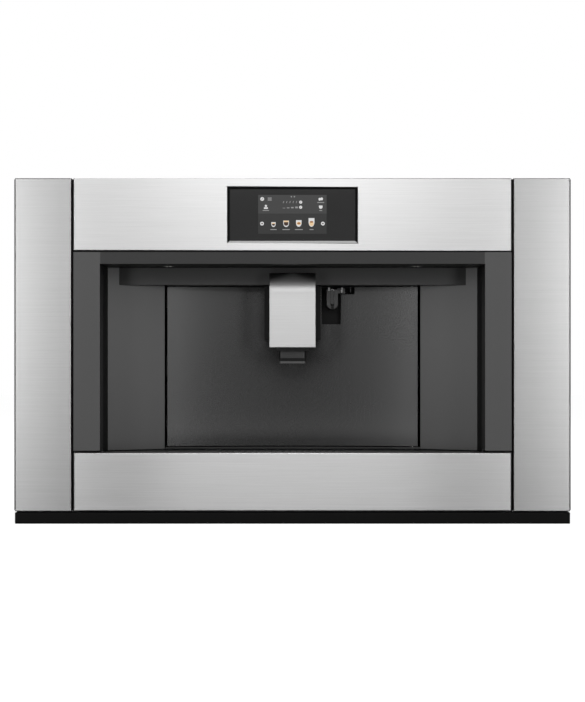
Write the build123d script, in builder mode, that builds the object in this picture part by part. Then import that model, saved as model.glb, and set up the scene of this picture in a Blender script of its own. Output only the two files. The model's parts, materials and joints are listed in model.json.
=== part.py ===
from build123d import *
from math import atan2, degrees, sqrt
import os

# Built in coffee machine, in millimetres. X is to the right, Z is up, and the front faces -Y.
# The origin is under the middle of the machine, on the niche floor. Depths are counted back
# from the front plane, so depth 0 is the face of the steel panels.

# Overall size
overall_width = 760.0
overall_height = 472.0
overall_depth = 475.0
rear_bumper = 5.0
chassis_depth = overall_depth - rear_bumper

# Front elevation
base_strip_height = 15.5
base_strip_gap = 1.5
steel_bottom = base_strip_height + base_strip_gap
carrier_show = 1.0
trim_width = 77.0
trim_gap = 3.0
trim_outer = overall_width / 2 - carrier_show
trim_inner = trim_outer - trim_width
fascia_half = trim_inner - trim_gap
lower_fascia_height = 80.4
lower_fascia_top = steel_bottom + lower_fascia_height
upper_fascia_height = 99.0
upper_fascia_bottom = overall_height - upper_fascia_height
reveal = 2.0
frame_top = upper_fascia_bottom - reveal
lintel_height = 16.0
ceiling_z = frame_top - lintel_height
pillar_width = 36.0
alcove_half = fascia_half - pillar_width
frame_gap = 2.6
frame_bottom = lower_fascia_top + frame_gap
panel_fold = 20.0
steel_wall = 1.5

# Chassis
chassis_inset = 21.8
chassis_half = fascia_half - chassis_inset
sheet = 1.2
chassis_bottom = 20.0
top_clearance = 22.0
chassis_top = overall_height - top_clearance
base_top = chassis_bottom + sheet
panel_inner = chassis_half - sheet
drawer_clearance = 1.5

# Alcove
moulding = 2.5
frame_return = 41.0
alcove_wall_depth = 106.0
cheek_width = 78.5
cheek_run_back = 40.8
door_gap = 3.5
jamb_half = alcove_half - cheek_width
door_half = jamb_half - door_gap
door_depth = alcove_wall_depth + cheek_run_back
jamb_length = 29.2
jamb_back = door_depth + jamb_length
shelf_drop = 3.9
shelf_z = lower_fascia_top - shelf_drop
shelf_gap = 0.9
side_bottom = shelf_z + shelf_gap
header_set_back = 8.0
header_depth = alcove_wall_depth + header_set_back
header_height = 25.0
header_bottom = ceiling_z - header_height

# Service door
door_clearance = 0.8
door_foot_gap = 0.7
door_bottom = lower_fascia_top + door_foot_gap
door_top = header_bottom - door_clearance
door_middle = (door_bottom + door_top) / 2
door_sag = 18.0
door_skin = 3.0
door_back_gap = 4.0
door_back = jamb_back - door_back_gap
door_rail = 14.0
hinge_inset = 7.5
hinge_set_back = 6.8
hinge_x = door_half - hinge_inset
hinge_depth = door_depth + hinge_set_back
pin_radius = 1.8
pin_fit = 0.05
hinge_plate_width = 39.5
hinge_plate_inner = jamb_half - hinge_plate_width
hinge_plate_thick = 2.4
sill_set_back = 3.2
sill_depth = door_depth + sill_set_back
sill_step = 0.2
sill_top = lower_fascia_top - sill_step
door_radius = (door_half**2 + door_sag**2) / (2 * door_sag)
bay_gap = 4.0
bay_front = jamb_back + bay_gap

# Niche in the door and the connection nozzle
niche_left = 42.4
niche_width = 27.6
niche_right = niche_left + niche_width
niche_height = 54.2
niche_bottom = door_top - niche_height
niche_step_width = 20.0
niche_step_right = niche_right + niche_step_width
niche_step_height = 10.6
niche_step_bottom = door_top - niche_step_height
niche_wall = 2.5
nozzle_inset = 15.1
nozzle_x = niche_left + nozzle_inset
nozzle_width = 16.0
nozzle_height = 28.5
nozzle_drop = 4.2
nozzle_top = door_top - nozzle_drop
nozzle_bottom = nozzle_top - nozzle_height
nozzle_proud = 0.8
nozzle_front = door_depth - nozzle_proud
housing_gap = 2.5
housing_front = door_back + housing_gap

# Spout
guide_half = 40.0
guide_reach = 26.8
guide_front = door_depth - guide_reach
guide_wall = 4.0
guide_lip = 3.0
guide_height = 77.2
guide_bottom = door_top - guide_height
guide_floor = 4.2
guide_channel_back = door_depth + guide_floor
slide_clearance = 0.3
cover_half = 32.5
cover_reach = 60.0
cover_front = guide_front - cover_reach
cover_gap = 8.0
cover_back = guide_front - cover_gap
cover_top_gap = 9.0
cover_top = ceiling_z - cover_top_gap
cover_height = 105.0
cover_bottom = cover_top - cover_height
cover_bend = 28.0
spout_block_half = 19.0
spout_block_height = 17.3
spout_tab_half = 24.0
spout_tab_height = 5.0
spout_block_bottom = cover_bottom - spout_tab_height - spout_block_height
spout_lip = 2.8
outlet_spacing = 18.0
outlet_radius = 3.0
slide_inset = 4.0
slide_bottom = guide_bottom + slide_inset
slide_top = door_top - slide_inset

# Controls
recess_width = 177.5
recess_height = 76.5
recess_drop = 50.2
recess_z = overall_height - recess_drop
bevel = 3.0
glass_thick = 2.0
glass_width = recess_width - 2 * bevel
glass_height = recess_height - 2 * bevel
display_width = 104.0
display_height = 62.0
display_thick = 6.0

# Drip drawer
tray_side_gap = 21.0
tray_half = panel_inner - tray_side_gap
tray_wall = 2.5
tray_lift = 8.0
tray_bottom = chassis_bottom + tray_lift
tray_back_gap = 0.2
tray_back = door_depth + tray_back_gap
bowl_half = 120.0
bowl_front = panel_fold + 2.0
bowl_margin = 9.0
bowl_back = tray_back - bowl_margin
grille_thick = 3.0
grille_fit = 0.5
grille_top = shelf_z - 0.5
grounds_half = 108.0
grounds_gap = 4.0
grounds_front = tray_back + grounds_gap
grounds_length = 107.0
grounds_back = grounds_front + grounds_length
grounds_height = 60.0
grounds_top = tray_bottom + grounds_height
float_inset = 22.0
float_x = bowl_half - float_inset
float_depth = (bowl_front + bowl_back) / 2
float_radius = 6.0

# Telescopic rails
rail_front = 30.0
rail_end_gap = 30.0
rail_back = chassis_depth - rail_end_gap
rail_bottom = 60.0
rail_height = 46.0
rail_top = rail_bottom + rail_height
rail_wall = 1.5
rail_step = 2.2
rail_space = 13.8
cradle_half = chassis_half + rail_space

# Inside
side_room = 14.0
hopper_width = 144.0
hopper_left = side_room - panel_inner
hopper_right = hopper_left + hopper_width
bay_side_gap = 2.0
bay_width = 140.0
bay_left = hopper_right - bay_side_gap
bay_right = bay_left + bay_width
bay_foot = 12.6
bay_bottom = side_bottom + bay_foot
bay_drop = 18.0
bay_top = header_bottom - bay_drop
bay_wall = 2.5
brew_x = (bay_left + bay_right) / 2
brew_set_back = 66.0
brew_depth = bay_front + brew_set_back
screw_reach = 54.0
screw_depth = brew_depth + screw_reach
screw_radius = 4.0
bulkhead_gap = 30.0
bulkhead_depth = screw_depth + bulkhead_gap
chamber_radius = 30.0
chamber_bore = 26.0
piston_length = 47.5
piston_bottom = bay_top - bay_wall - piston_length
chamber_room = 32.5
chamber_height = (bay_top - bay_bottom) / 2 - chamber_room
piston_gap = 27.0
chamber_top = piston_bottom - piston_gap
chamber_bottom = chamber_top - chamber_height
piston_clearance = 1.0
hopper_gap = 10.0
hopper_front = jamb_back + hopper_gap
hopper_back = bulkhead_depth - 4.0
grinder_x = (hopper_left + hopper_right) / 2
grinder_depth = (hopper_front + hopper_back) / 2
motor_radius = 32.0
motor_height = 110.0
burr_housing_radius = 38.0
burr_housing_height = 45.0
burr_housing_drop = 105.0
burr_housing_top = chassis_top - burr_housing_drop
motor_top = burr_housing_top - burr_housing_height
motor_bottom = motor_top - motor_height
tank_width = 154.0
tank_right = panel_inner - side_room
tank_left = tank_right - tank_width
tank_gap = 20.0
tank_front = jamb_back + tank_gap
tank_back_gap = 30.0
tank_back = chassis_depth - tank_back_gap
tank_stand = 130.0
tank_bottom = chassis_bottom + tank_stand
tank_top = chassis_top - 3.0
tank_wall = 2.5
tank_corner = 10.0
pump_set_in = 23.0
pump_x = tank_left + pump_set_in
pump_from_back = 70.0
pump_depth = chassis_depth - pump_from_back
pump_height = 55.0
pump_z = chassis_bottom + pump_height
opening_gap = 2.0
bulkhead_tank_gap = 13.0
bulkhead_right = tank_left - bulkhead_tank_gap
lid_thick = 3.0
cover_lift = 0.3
knuckle_radius = 2.6
knuckle_reach = 3.2
trunnion_radius = 1.3
trunnion_length = 3.4
trunnion_play = 0.3
saddle_radius = trunnion_radius + trunnion_play
saddle_thick = 4.0
saddle_gap = 0.4
saddle_rise = 0.9
cut_margin = 1.0


def y_at(depth):
    """The Y coordinate of a depth counted back from the front plane."""
    return depth - overall_depth / 2


def front_plane(depth):
    """A front-view plane at a depth: local x is X, local y is Z. Negative extrusion goes back."""
    return Plane.XZ.offset(-y_at(depth))


def plan(z):
    """A plan-view plane at a height."""
    return Plane.XY.offset(z)


def block(x_range, depth_range, z_range, mode=Mode.ADD):
    """A box between two corners, with its depths counted back from the front plane."""
    x_low, x_high = x_range
    depth_low, depth_high = depth_range
    z_low, z_high = z_range
    middle = ((x_low + x_high) / 2, y_at((depth_low + depth_high) / 2), (z_low + z_high) / 2)
    with Locations(middle):
        Box(x_high - x_low, depth_high - depth_low, z_high - z_low, mode=mode)


def rod(x, depth, z_range, radius, mode=Mode.ADD):
    """An upright cylinder."""
    z_low, z_high = z_range
    with Locations((x, y_at(depth), (z_low + z_high) / 2)):
        Cylinder(radius, z_high - z_low, mode=mode)


def cross_rod(x_range, depth, z, radius, mode=Mode.ADD):
    """A cylinder lying along X."""
    x_low, x_high = x_range
    with Locations(((x_low + x_high) / 2, y_at(depth), z)):
        Cylinder(radius, x_high - x_low, rotation=(0, 90, 0), mode=mode)


def saddles(x, half, depth, base):
    """Two posts on a surface with open saddles, for the trunnions of a lid."""
    axis_z = base + cover_lift + knuckle_radius
    for side in (-1, 1):
        near = x + side * (half + saddle_gap)
        far = near + side * saddle_thick
        post = (min(near, far), max(near, far))
        block(post, (depth - knuckle_radius, depth + knuckle_radius), (base, axis_z + saddle_rise))
        block(post, (depth - saddle_radius, depth + saddle_radius), (axis_z, axis_z + knuckle_radius),
              mode=Mode.SUBTRACT)
        cross_rod(post, depth, axis_z, saddle_radius, mode=Mode.SUBTRACT)


def knuckle(x, half, depth, low):
    """The round knuckle of a lid with its two trunnions and the tongue to the lid."""
    axis_z = low + knuckle_radius
    block((x - half, x + half), (depth - knuckle_reach, depth), (low, low + lid_thick))
    cross_rod((x - half, x + half), depth, axis_z, knuckle_radius)
    cross_rod((x - half - trunnion_length, x + half + trunnion_length), depth, axis_z,
              trunnion_radius)


def both(side, low, high):
    """A pair of x limits on the right side, or mirrored to the left when side is -1."""
    return tuple(sorted((side * low, side * high)))


def door_face(x, behind=0.0):
    """A plan point on the hollow face of the door, or on the same curve set further back."""
    radius = door_radius + behind
    return (x, y_at(door_depth + door_sag + behind - (radius - sqrt(radius**2 - x**2))))


os.makedirs("parts", exist_ok=True)

# ---------------------------------------------------------------- surround, fixed in the niche

cradle_wall = 1.5
cradle_floor = 2.0
cradle_height = 112.0
cradle_front_step = 1.4
cradle_front_top = lower_fascia_top - cradle_front_step
cradle_relief = panel_fold + 3.0
cradle_screw_inset = 41.0
cradle_screw_x = cradle_half - cradle_screw_inset
cradle_screw_front = 60.0
cradle_screw_from_back = 50.0
cradle_screw_back = chassis_depth - cradle_screw_from_back
cradle_screw_radius = 2.75
cradle_flange_end = trim_outer - 1.0

with BuildPart() as mounting_cradle:
    block((-cradle_half, cradle_half), (panel_fold, chassis_depth), (0, cradle_floor))
    for side in (-1, 1):
        block(both(side, cradle_half, cradle_half + cradle_wall), (panel_fold, chassis_depth),
              (0, cradle_front_top))
        block(both(side, cradle_half, cradle_half + cradle_wall), (cradle_relief, chassis_depth),
              (cradle_front_top, cradle_height))
        block(both(side, cradle_half, cradle_flange_end), (panel_fold, panel_fold + cradle_floor),
              (cradle_floor, cradle_front_top))
    cradle_screw_mid = (cradle_screw_front + cradle_screw_back) / 2
    with BuildSketch(plan(0)):
        with Locations((0, y_at(cradle_screw_mid))):
            with GridLocations(2 * cradle_screw_x, cradle_screw_back - cradle_screw_front, 2, 2):
                Circle(cradle_screw_radius)
    extrude(amount=cradle_floor, mode=Mode.SUBTRACT)
mounting_cradle.part.label = "mounting_cradle"
export_step(mounting_cradle.part, "parts/mounting_cradle.step")


def rail_pair(web_x, lip_length, z_low, z_high, opens):
    """Two rolled rail members, one a side. opens is -1 when the lips point to the middle."""
    with BuildPart() as pair:
        with BuildSketch(front_plane(rail_front)):
            with BuildLine():
                lip_x = web_x + opens * (rail_wall + lip_length)
                wall_x = web_x + opens * rail_wall
                Polyline(
                    (web_x, z_low), (lip_x, z_low), (lip_x, z_low + rail_wall),
                    (wall_x, z_low + rail_wall), (wall_x, z_high - rail_wall),
                    (lip_x, z_high - rail_wall), (lip_x, z_high), (web_x, z_high), close=True)
            make_face()
            mirror(about=Plane.YZ)
        extrude(amount=rail_front - rail_back)
    return pair


middle_web = cradle_half - rail_wall - rail_step
inner_lip = 4.5
middle_lip = 5.0
outer_lip = 8.0
middle_bottom = rail_bottom + rail_wall + rail_step / 2
middle_top = rail_top - rail_wall - rail_step / 2
inner_bottom = middle_bottom + rail_wall + rail_step
inner_top = middle_top - rail_wall - rail_step

outer_rails = rail_pair(cradle_half, outer_lip, rail_bottom, rail_top, -1)
outer_rails.part.label = "outer_rails"
export_step(outer_rails.part, "parts/outer_rails.step")

middle_rails = rail_pair(middle_web, middle_lip, middle_bottom, middle_top, -1)
middle_rails.part.label = "middle_rails"
export_step(middle_rails.part, "parts/middle_rails.step")

inner_rails = rail_pair(chassis_half, inner_lip, inner_bottom, inner_top, 1)
inner_rails.part.label = "inner_rails"
export_step(inner_rails.part, "parts/inner_rails.step")

strip_wall = 2.0
strip_chamfer = 1.5

with BuildPart() as base_strip:
    with BuildSketch(Plane.YZ):
        with BuildLine():
            Polyline(
                (y_at(0), strip_chamfer), (y_at(strip_chamfer), 0), (y_at(panel_fold), 0),
                (y_at(panel_fold), strip_wall), (y_at(strip_wall), strip_wall),
                (y_at(strip_wall), base_strip_height - strip_wall),
                (y_at(panel_fold), base_strip_height - strip_wall),
                (y_at(panel_fold), base_strip_height), (y_at(0), base_strip_height), close=True)
        make_face()
    extrude(amount=trim_outer, both=True)
base_strip.part.label = "base_strip"
export_step(base_strip.part, "parts/base_strip.step")

trim_fold = 18.0

with BuildPart() as side_trims:
    for side in (-1, 1):
        block(both(side, trim_inner, trim_outer), (0, trim_fold), (steel_bottom, overall_height))
        block(both(side, trim_inner + steel_wall, trim_outer), (steel_wall, trim_fold),
              (steel_bottom + steel_wall, overall_height - steel_wall), mode=Mode.SUBTRACT)
side_trims.part.label = "side_trims"
export_step(side_trims.part, "parts/side_trims.step")

carrier_wall = 2.0
carrier_ribs = 6
carrier_rib_height = 4.0

with BuildPart() as trim_carriers:
    carrier_inner = trim_inner + steel_wall
    carrier_low = steel_bottom + steel_wall
    carrier_high = overall_height - steel_wall
    rib_pitch = (carrier_high - carrier_low) / (carrier_ribs + 1)
    channel_front = steel_wall + carrier_wall
    for side in (-1, 1):
        block(both(side, carrier_inner, overall_width / 2), (steel_wall, panel_fold),
              (carrier_low, carrier_high))
        block(both(side, carrier_inner + carrier_wall, overall_width / 2 - carrier_wall),
              (channel_front, panel_fold), (carrier_low + carrier_wall, carrier_high - carrier_wall),
              mode=Mode.SUBTRACT)
        for rib in range(1, carrier_ribs + 1):
            rib_z = carrier_low + rib * rib_pitch
            block(both(side, carrier_inner + carrier_wall, overall_width / 2 - carrier_wall),
                  (channel_front, channel_front + carrier_rib_height),
                  (rib_z - carrier_wall / 2, rib_z + carrier_wall / 2))
trim_carriers.part.label = "trim_carriers"
export_step(trim_carriers.part, "parts/trim_carriers.step")

# ---------------------------------------------------------------- machine chassis

runner_inner = tray_half + 2.0
runner_height = 60.0
runner_ledge = 5.0
runner_back = 250.0
runner_play = 0.4
base_flange = 15.0

with BuildPart() as chassis_base:
    block((-panel_inner, panel_inner), (panel_fold + drawer_clearance, chassis_depth),
          (chassis_bottom, base_top))
    for side in (-1, 1):
        block(both(side, runner_inner, runner_inner + sheet),
              (panel_fold + drawer_clearance, runner_back), (base_top, runner_height))
        block(both(side, runner_inner, panel_inner), (panel_fold + drawer_clearance, runner_back),
              (runner_height - sheet, runner_height))
        block(both(side, runner_inner - runner_ledge, runner_inner),
              (panel_fold + drawer_clearance, runner_back), (base_top, tray_bottom - runner_play))
chassis_base.part.label = "chassis_base"
export_step(chassis_base.part, "parts/chassis_base.step")

louvre_length = 60.0
louvre_height = 3.0
louvre_count = 9
louvre_pitch = 9.0
louvre_inset = 70.0
louvre_drop = 60.0


def side_panel(side):
    """One outer side sheet with its front flange and a field of vent slots."""
    with BuildPart() as panel:
        block(both(side, panel_inner, chassis_half), (panel_fold, chassis_depth),
              (chassis_bottom, chassis_top))
        block(both(side, panel_inner, chassis_half), (panel_fold, panel_fold + drawer_clearance),
              (chassis_bottom, frame_bottom), mode=Mode.SUBTRACT)
        block(both(side, panel_inner, fascia_half), (panel_fold, panel_fold + sheet),
              (frame_bottom, chassis_top))
        with BuildSketch(Plane.YZ.offset(side * panel_inner)):
            with Locations((y_at(chassis_depth - louvre_inset), chassis_top - louvre_drop)):
                with GridLocations(1, louvre_pitch, 1, louvre_count):
                    Rectangle(louvre_length, louvre_height)
        extrude(amount=side * sheet, mode=Mode.SUBTRACT)
    return panel


side_panel_left = side_panel(-1)
side_panel_left.part.label = "side_panel_left"
export_step(side_panel_left.part, "parts/side_panel_left.step")

side_panel_right = side_panel(1)
side_panel_right.part.label = "side_panel_right"
export_step(side_panel_right.part, "parts/side_panel_right.step")

inlet_inset = 76.0
inlet_x = panel_inner - inlet_inset
inlet_z = 60.0
inlet_width = 27.0
inlet_height = 20.0
inlet_flange = 8.0
inlet_body_depth = 25.0
switch_spacing = 50.0
switch_x = inlet_x - switch_spacing
switch_width = 13.0
switch_height = 19.0
switch_gap = 0.4
switch_pivot_inset = 5.0
switch_pivot_depth = chassis_depth - switch_pivot_inset
pivot_cheek = 1.2
pivot_cheek_half = 4.0
pivot_cheek_length = 10.0
bumper_size = 22.0
bumper_taper = 15.0
bumper_inset_x = 36.0
bumper_inset_z = 24.4
rear_slot_columns = 2
rear_slot_rows = 12
rear_slot_length = 70.0
rear_slot_gap = 20.0
rear_slot_height = 4.0
rear_slot_pitch = 12.0
rear_slot_x = -120.0
rear_slot_drop = 150.0

with BuildPart() as rear_panel:
    block((-panel_inner, panel_inner), (chassis_depth - sheet, chassis_depth),
          (base_top, chassis_top))
    block((inlet_x - inlet_width / 2, inlet_x + inlet_width / 2),
          (chassis_depth - sheet, chassis_depth),
          (inlet_z - inlet_height / 2, inlet_z + inlet_height / 2), mode=Mode.SUBTRACT)
    block((switch_x - switch_width / 2, switch_x + switch_width / 2),
          (chassis_depth - sheet, chassis_depth),
          (inlet_z - switch_height / 2, inlet_z + switch_height / 2), mode=Mode.SUBTRACT)
    with BuildSketch(front_plane(chassis_depth - sheet)):
        with Locations((rear_slot_x, chassis_top - rear_slot_drop)):
            with GridLocations(rear_slot_length + rear_slot_gap, rear_slot_pitch,
                               rear_slot_columns, rear_slot_rows):
                Rectangle(rear_slot_length, rear_slot_height)
    extrude(amount=-sheet, mode=Mode.SUBTRACT)
    with BuildSketch(front_plane(chassis_depth)):
        with Locations((0, (base_top + chassis_top) / 2)):
            with GridLocations(2 * (panel_inner - bumper_inset_x),
                               chassis_top - base_top - 2 * bumper_inset_z, 2, 2):
                Rectangle(bumper_size, bumper_size)
    extrude(amount=-rear_bumper, taper=bumper_taper)
    for side in (-1, 1):
        cheek_near = switch_x + side * switch_width / 2
        cheek_far = cheek_near + side * pivot_cheek
        cheek_x = (min(cheek_near, cheek_far), max(cheek_near, cheek_far))
        block(cheek_x, (chassis_depth - pivot_cheek_length, chassis_depth - sheet),
              (inlet_z - pivot_cheek_half, inlet_z + pivot_cheek_half))
        cross_rod(cheek_x, switch_pivot_depth, inlet_z, saddle_radius, mode=Mode.SUBTRACT)
rear_panel.part.label = "rear_panel"
export_step(rear_panel.part, "parts/rear_panel.step")

tank_opening = (tank_left - opening_gap, tank_right + opening_gap)
tank_opening_depth = (tank_front - opening_gap, tank_back + opening_gap)
hopper_wall = 2.5
funnel_half_width = 28.0
funnel_half_depth = 20.0
funnel_x = brew_x
funnel_set_back = 50.0
funnel_depth = bay_front + funnel_set_back
knob_spacing = 35.0
knob_x = brew_x - knob_spacing
knob_depth = screw_depth
knob_shaft = 4.0
knob_play = 0.3
knob_bore = knob_shaft + knob_play
lid_margin = 4.0
bean_knuckle_half = 30.0
bean_lid_back = hopper_back + lid_margin
bean_hinge_depth = bean_lid_back + knuckle_reach
funnel_knuckle_half = 14.0
funnel_lid_back = funnel_depth + funnel_half_depth + lid_margin
funnel_hinge_depth = funnel_lid_back + knuckle_reach

with BuildPart() as top_cover:
    block((-chassis_half, chassis_half), (panel_fold, chassis_depth),
          (chassis_top, chassis_top + sheet))
    block(tank_opening, tank_opening_depth, (chassis_top, chassis_top + sheet), mode=Mode.SUBTRACT)
    block((hopper_left + hopper_wall, hopper_right - hopper_wall),
          (hopper_front + hopper_wall, hopper_back - hopper_wall),
          (chassis_top, chassis_top + sheet), mode=Mode.SUBTRACT)
    block((funnel_x - funnel_half_width, funnel_x + funnel_half_width),
          (funnel_depth - funnel_half_depth, funnel_depth + funnel_half_depth),
          (chassis_top, chassis_top + sheet), mode=Mode.SUBTRACT)
    rod(knob_x, knob_depth, (chassis_top, chassis_top + sheet), knob_bore, mode=Mode.SUBTRACT)
    saddles(grinder_x, bean_knuckle_half, bean_hinge_depth, chassis_top + sheet)
    saddles(funnel_x, funnel_knuckle_half, funnel_hinge_depth, chassis_top + sheet)
top_cover.part.label = "top_cover"
export_step(top_cover.part, "parts/top_cover.step")

with BuildPart() as bulkhead:
    block((-panel_inner, bulkhead_right), (bulkhead_depth, bulkhead_depth + sheet),
          (base_top, chassis_top))
    block((bulkhead_right - sheet, bulkhead_right), (bulkhead_depth, bulkhead_depth + base_flange),
          (base_top, chassis_top))
bulkhead.part.label = "bulkhead"
export_step(bulkhead.part, "parts/bulkhead.step")

# ---------------------------------------------------------------- alcove

frame_plate = 3.0
frame_wall = 2.0

with BuildPart() as front_frame:
    block((-fascia_half, fascia_half), (0, frame_plate), (frame_bottom, frame_top))
    for side in (-1, 1):
        block(both(side, fascia_half - frame_wall, fascia_half), (0, panel_fold),
              (frame_bottom, frame_top))
    block((-fascia_half, fascia_half), (0, panel_fold), (frame_top - frame_wall, frame_top))
    block((-alcove_half - frame_wall, alcove_half + frame_wall), (0, frame_return),
          (frame_bottom, ceiling_z + frame_wall))
    block((-alcove_half, alcove_half), (0, frame_return), (frame_bottom, ceiling_z),
          mode=Mode.SUBTRACT)
front_frame.part.label = "front_frame"
export_step(front_frame.part, "parts/front_frame.step")

slant_run = alcove_half - jamb_half
slant_rise = door_depth - alcove_wall_depth
slant_length = sqrt(slant_run**2 + slant_rise**2)
slant_slope = slant_rise / slant_run
outer_corner_depth = alcove_wall_depth + moulding * (slant_length - slant_rise) / slant_run
inner_corner_depth = door_depth + moulding * (slant_length - slant_rise) / slant_run


def alcove_side(side):
    """A moulded alcove cheek: a wall from the frame, the slanted face and the door jamb."""
    with BuildPart() as cheek:
        with BuildSketch(plan(side_bottom)):
            with BuildLine():
                Polyline(
                    (side * alcove_half, y_at(frame_return)),
                    (side * alcove_half, y_at(alcove_wall_depth)),
                    (side * jamb_half, y_at(door_depth)),
                    (side * jamb_half, y_at(jamb_back)),
                    (side * (jamb_half + moulding), y_at(jamb_back)),
                    (side * (jamb_half + moulding), y_at(inner_corner_depth)),
                    (side * (alcove_half + moulding), y_at(outer_corner_depth)),
                    (side * (alcove_half + moulding), y_at(frame_return)), close=True)
            make_face()
        extrude(amount=ceiling_z - side_bottom)
    return cheek


alcove_side_left = alcove_side(-1)
alcove_side_left.part.label = "alcove_side_left"
export_step(alcove_side_left.part, "parts/alcove_side_left.step")

alcove_side_right = alcove_side(1)
alcove_side_right.part.label = "alcove_side_right"
export_step(alcove_side_right.part, "parts/alcove_side_right.step")

lamp_x = 174.0
lamp_depth = 73.0
lamp_width = 14.0
lamp_breadth = 7.0
lamp_drop = 0.8
lamp_spacing = 5.1
lamp_dome = 1.6

with BuildPart() as alcove_ceiling:
    block((-alcove_half - moulding, alcove_half + moulding), (frame_return, jamb_back),
          (ceiling_z, ceiling_z + moulding))
    with BuildSketch(plan(ceiling_z)):
        for side in (-1, 1):
            with Locations((side * lamp_x, y_at(lamp_depth))):
                Rectangle(lamp_width, lamp_breadth)
    extrude(amount=moulding, mode=Mode.SUBTRACT)
alcove_ceiling.part.label = "alcove_ceiling"
export_step(alcove_ceiling.part, "parts/alcove_ceiling.step")

with BuildPart() as cup_lights:
    with BuildSketch(plan(ceiling_z)):
        for side in (-1, 1):
            with Locations((side * lamp_x, y_at(lamp_depth))):
                Rectangle(lamp_width, lamp_breadth)
    extrude(amount=moulding)
    for side in (-1, 1):
        for step in (-0.5, 0.5):
            rod(side * lamp_x + step * lamp_spacing, lamp_depth,
                (ceiling_z - lamp_drop, ceiling_z), lamp_dome)
cup_lights.part.label = "cup_lights"
export_step(cup_lights.part, "parts/cup_lights.step")

header_edge = alcove_half - (header_depth - alcove_wall_depth) / slant_slope

with BuildPart() as header_band:
    with BuildSketch(plan(header_bottom)):
        with BuildLine():
            Polyline(
                (-header_edge, y_at(header_depth)), (header_edge, y_at(header_depth)),
                (jamb_half, y_at(door_depth)), (jamb_half, y_at(jamb_back)),
                (-jamb_half, y_at(jamb_back)), (-jamb_half, y_at(door_depth)), close=True)
        make_face()
    extrude(amount=header_height)
    block((moulding - jamb_half, jamb_half - moulding),
          (header_depth + moulding, jamb_back - moulding),
          (header_bottom + moulding, ceiling_z), mode=Mode.SUBTRACT)
    block((hinge_plate_inner, jamb_half), (door_depth, jamb_back),
          (header_bottom, header_bottom + hinge_plate_thick), mode=Mode.SUBTRACT)
header_band.part.label = "header_band"
export_step(header_band.part, "parts/header_band.step")

with BuildPart() as door_sill:
    block((-jamb_half, hinge_plate_inner), (sill_depth, jamb_back), (side_bottom, sill_top))
door_sill.part.label = "door_sill"
export_step(door_sill.part, "parts/door_sill.step")

with BuildPart() as hinge_plates:
    block((hinge_plate_inner, jamb_half), (door_depth, jamb_back),
          (header_bottom, header_bottom + hinge_plate_thick))
    block((hinge_plate_inner, jamb_half), (door_depth, jamb_back), (side_bottom, sill_top))
    rod(hinge_x, hinge_depth, (side_bottom, header_bottom + hinge_plate_thick),
        pin_radius + pin_fit, mode=Mode.SUBTRACT)
hinge_plates.part.label = "hinge_plates"
export_step(hinge_plates.part, "parts/hinge_plates.step")

catch_plate_thick = 1.5
catch_gap = 0.5
catch_half_height = 15.0
catch_width = 31.0
catch_low = door_middle - catch_half_height
catch_high = door_middle + catch_half_height
catch_inner = catch_width - door_half

with BuildPart() as catch_magnet:
    block((-jamb_half, catch_inner), (door_back + catch_plate_thick + catch_gap, bay_front),
          (catch_low, catch_high))
catch_magnet.part.label = "catch_magnet"
export_step(catch_magnet.part, "parts/catch_magnet.step")

# ---------------------------------------------------------------- upper fascia and controls

with BuildPart() as upper_fascia:
    block((-fascia_half, fascia_half), (0, panel_fold), (upper_fascia_bottom, overall_height))
    block((steel_wall - fascia_half, fascia_half - steel_wall), (steel_wall, panel_fold),
          (upper_fascia_bottom + steel_wall, overall_height - steel_wall), mode=Mode.SUBTRACT)
    block((-recess_width / 2, recess_width / 2), (0, steel_wall),
          (recess_z - recess_height / 2, recess_z + recess_height / 2), mode=Mode.SUBTRACT)
upper_fascia.part.label = "upper_fascia"
export_step(upper_fascia.part, "parts/upper_fascia.step")

bezel_rim = 6.0
bezel_depth = 16.0
glass_front = steel_wall + bevel
glass_seat = 2.0

with BuildPart() as control_bezel:
    block((-recess_width / 2 - bezel_rim, recess_width / 2 + bezel_rim), (steel_wall, bezel_depth),
          (recess_z - recess_height / 2 - bezel_rim, recess_z + recess_height / 2 + bezel_rim))
    with BuildSketch(front_plane(steel_wall)):
        with Locations((0, recess_z)):
            Rectangle(recess_width, recess_height)
    with BuildSketch(front_plane(glass_front)):
        with Locations((0, recess_z)):
            Rectangle(glass_width, glass_height)
    loft(mode=Mode.SUBTRACT)
    block((-glass_width / 2, glass_width / 2), (glass_front, glass_front + glass_thick),
          (recess_z - glass_height / 2, recess_z + glass_height / 2), mode=Mode.SUBTRACT)
    block((glass_seat - glass_width / 2, glass_width / 2 - glass_seat), (glass_front, bezel_depth),
          (recess_z - glass_height / 2 + glass_seat, recess_z + glass_height / 2 - glass_seat),
          mode=Mode.SUBTRACT)
control_bezel.part.label = "control_bezel"
export_step(control_bezel.part, "parts/control_bezel.step")

with BuildPart() as control_glass:
    block((-glass_width / 2, glass_width / 2), (glass_front, glass_front + glass_thick),
          (recess_z - glass_height / 2, recess_z + glass_height / 2))
control_glass.part.label = "control_glass"
export_step(control_glass.part, "parts/control_glass.step")

display_front = glass_front + glass_thick
connector_half = 30.0
connector_low = -20.0
connector_high = 10.0
connector_tail = 2.0

with BuildPart() as display_module:
    block((-display_width / 2, display_width / 2), (display_front, display_front + display_thick),
          (recess_z - display_height / 2, recess_z + display_height / 2))
    block((-connector_half, connector_half), (display_front + display_thick, bezel_depth + connector_tail),
          (recess_z + connector_low, recess_z + connector_high))
display_module.part.label = "display_module"
export_step(display_module.part, "parts/display_module.step")

# ---------------------------------------------------------------- service door


def cut_niche(front, back):
    """The stepped niche, open at the top, cut out of the block that is being made."""
    block((niche_left, niche_right), (front, back), (niche_bottom, door_top + cut_margin),
          mode=Mode.SUBTRACT)
    block((niche_left, niche_step_right), (front, back), (niche_step_bottom, door_top + cut_margin),
          mode=Mode.SUBTRACT)


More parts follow.
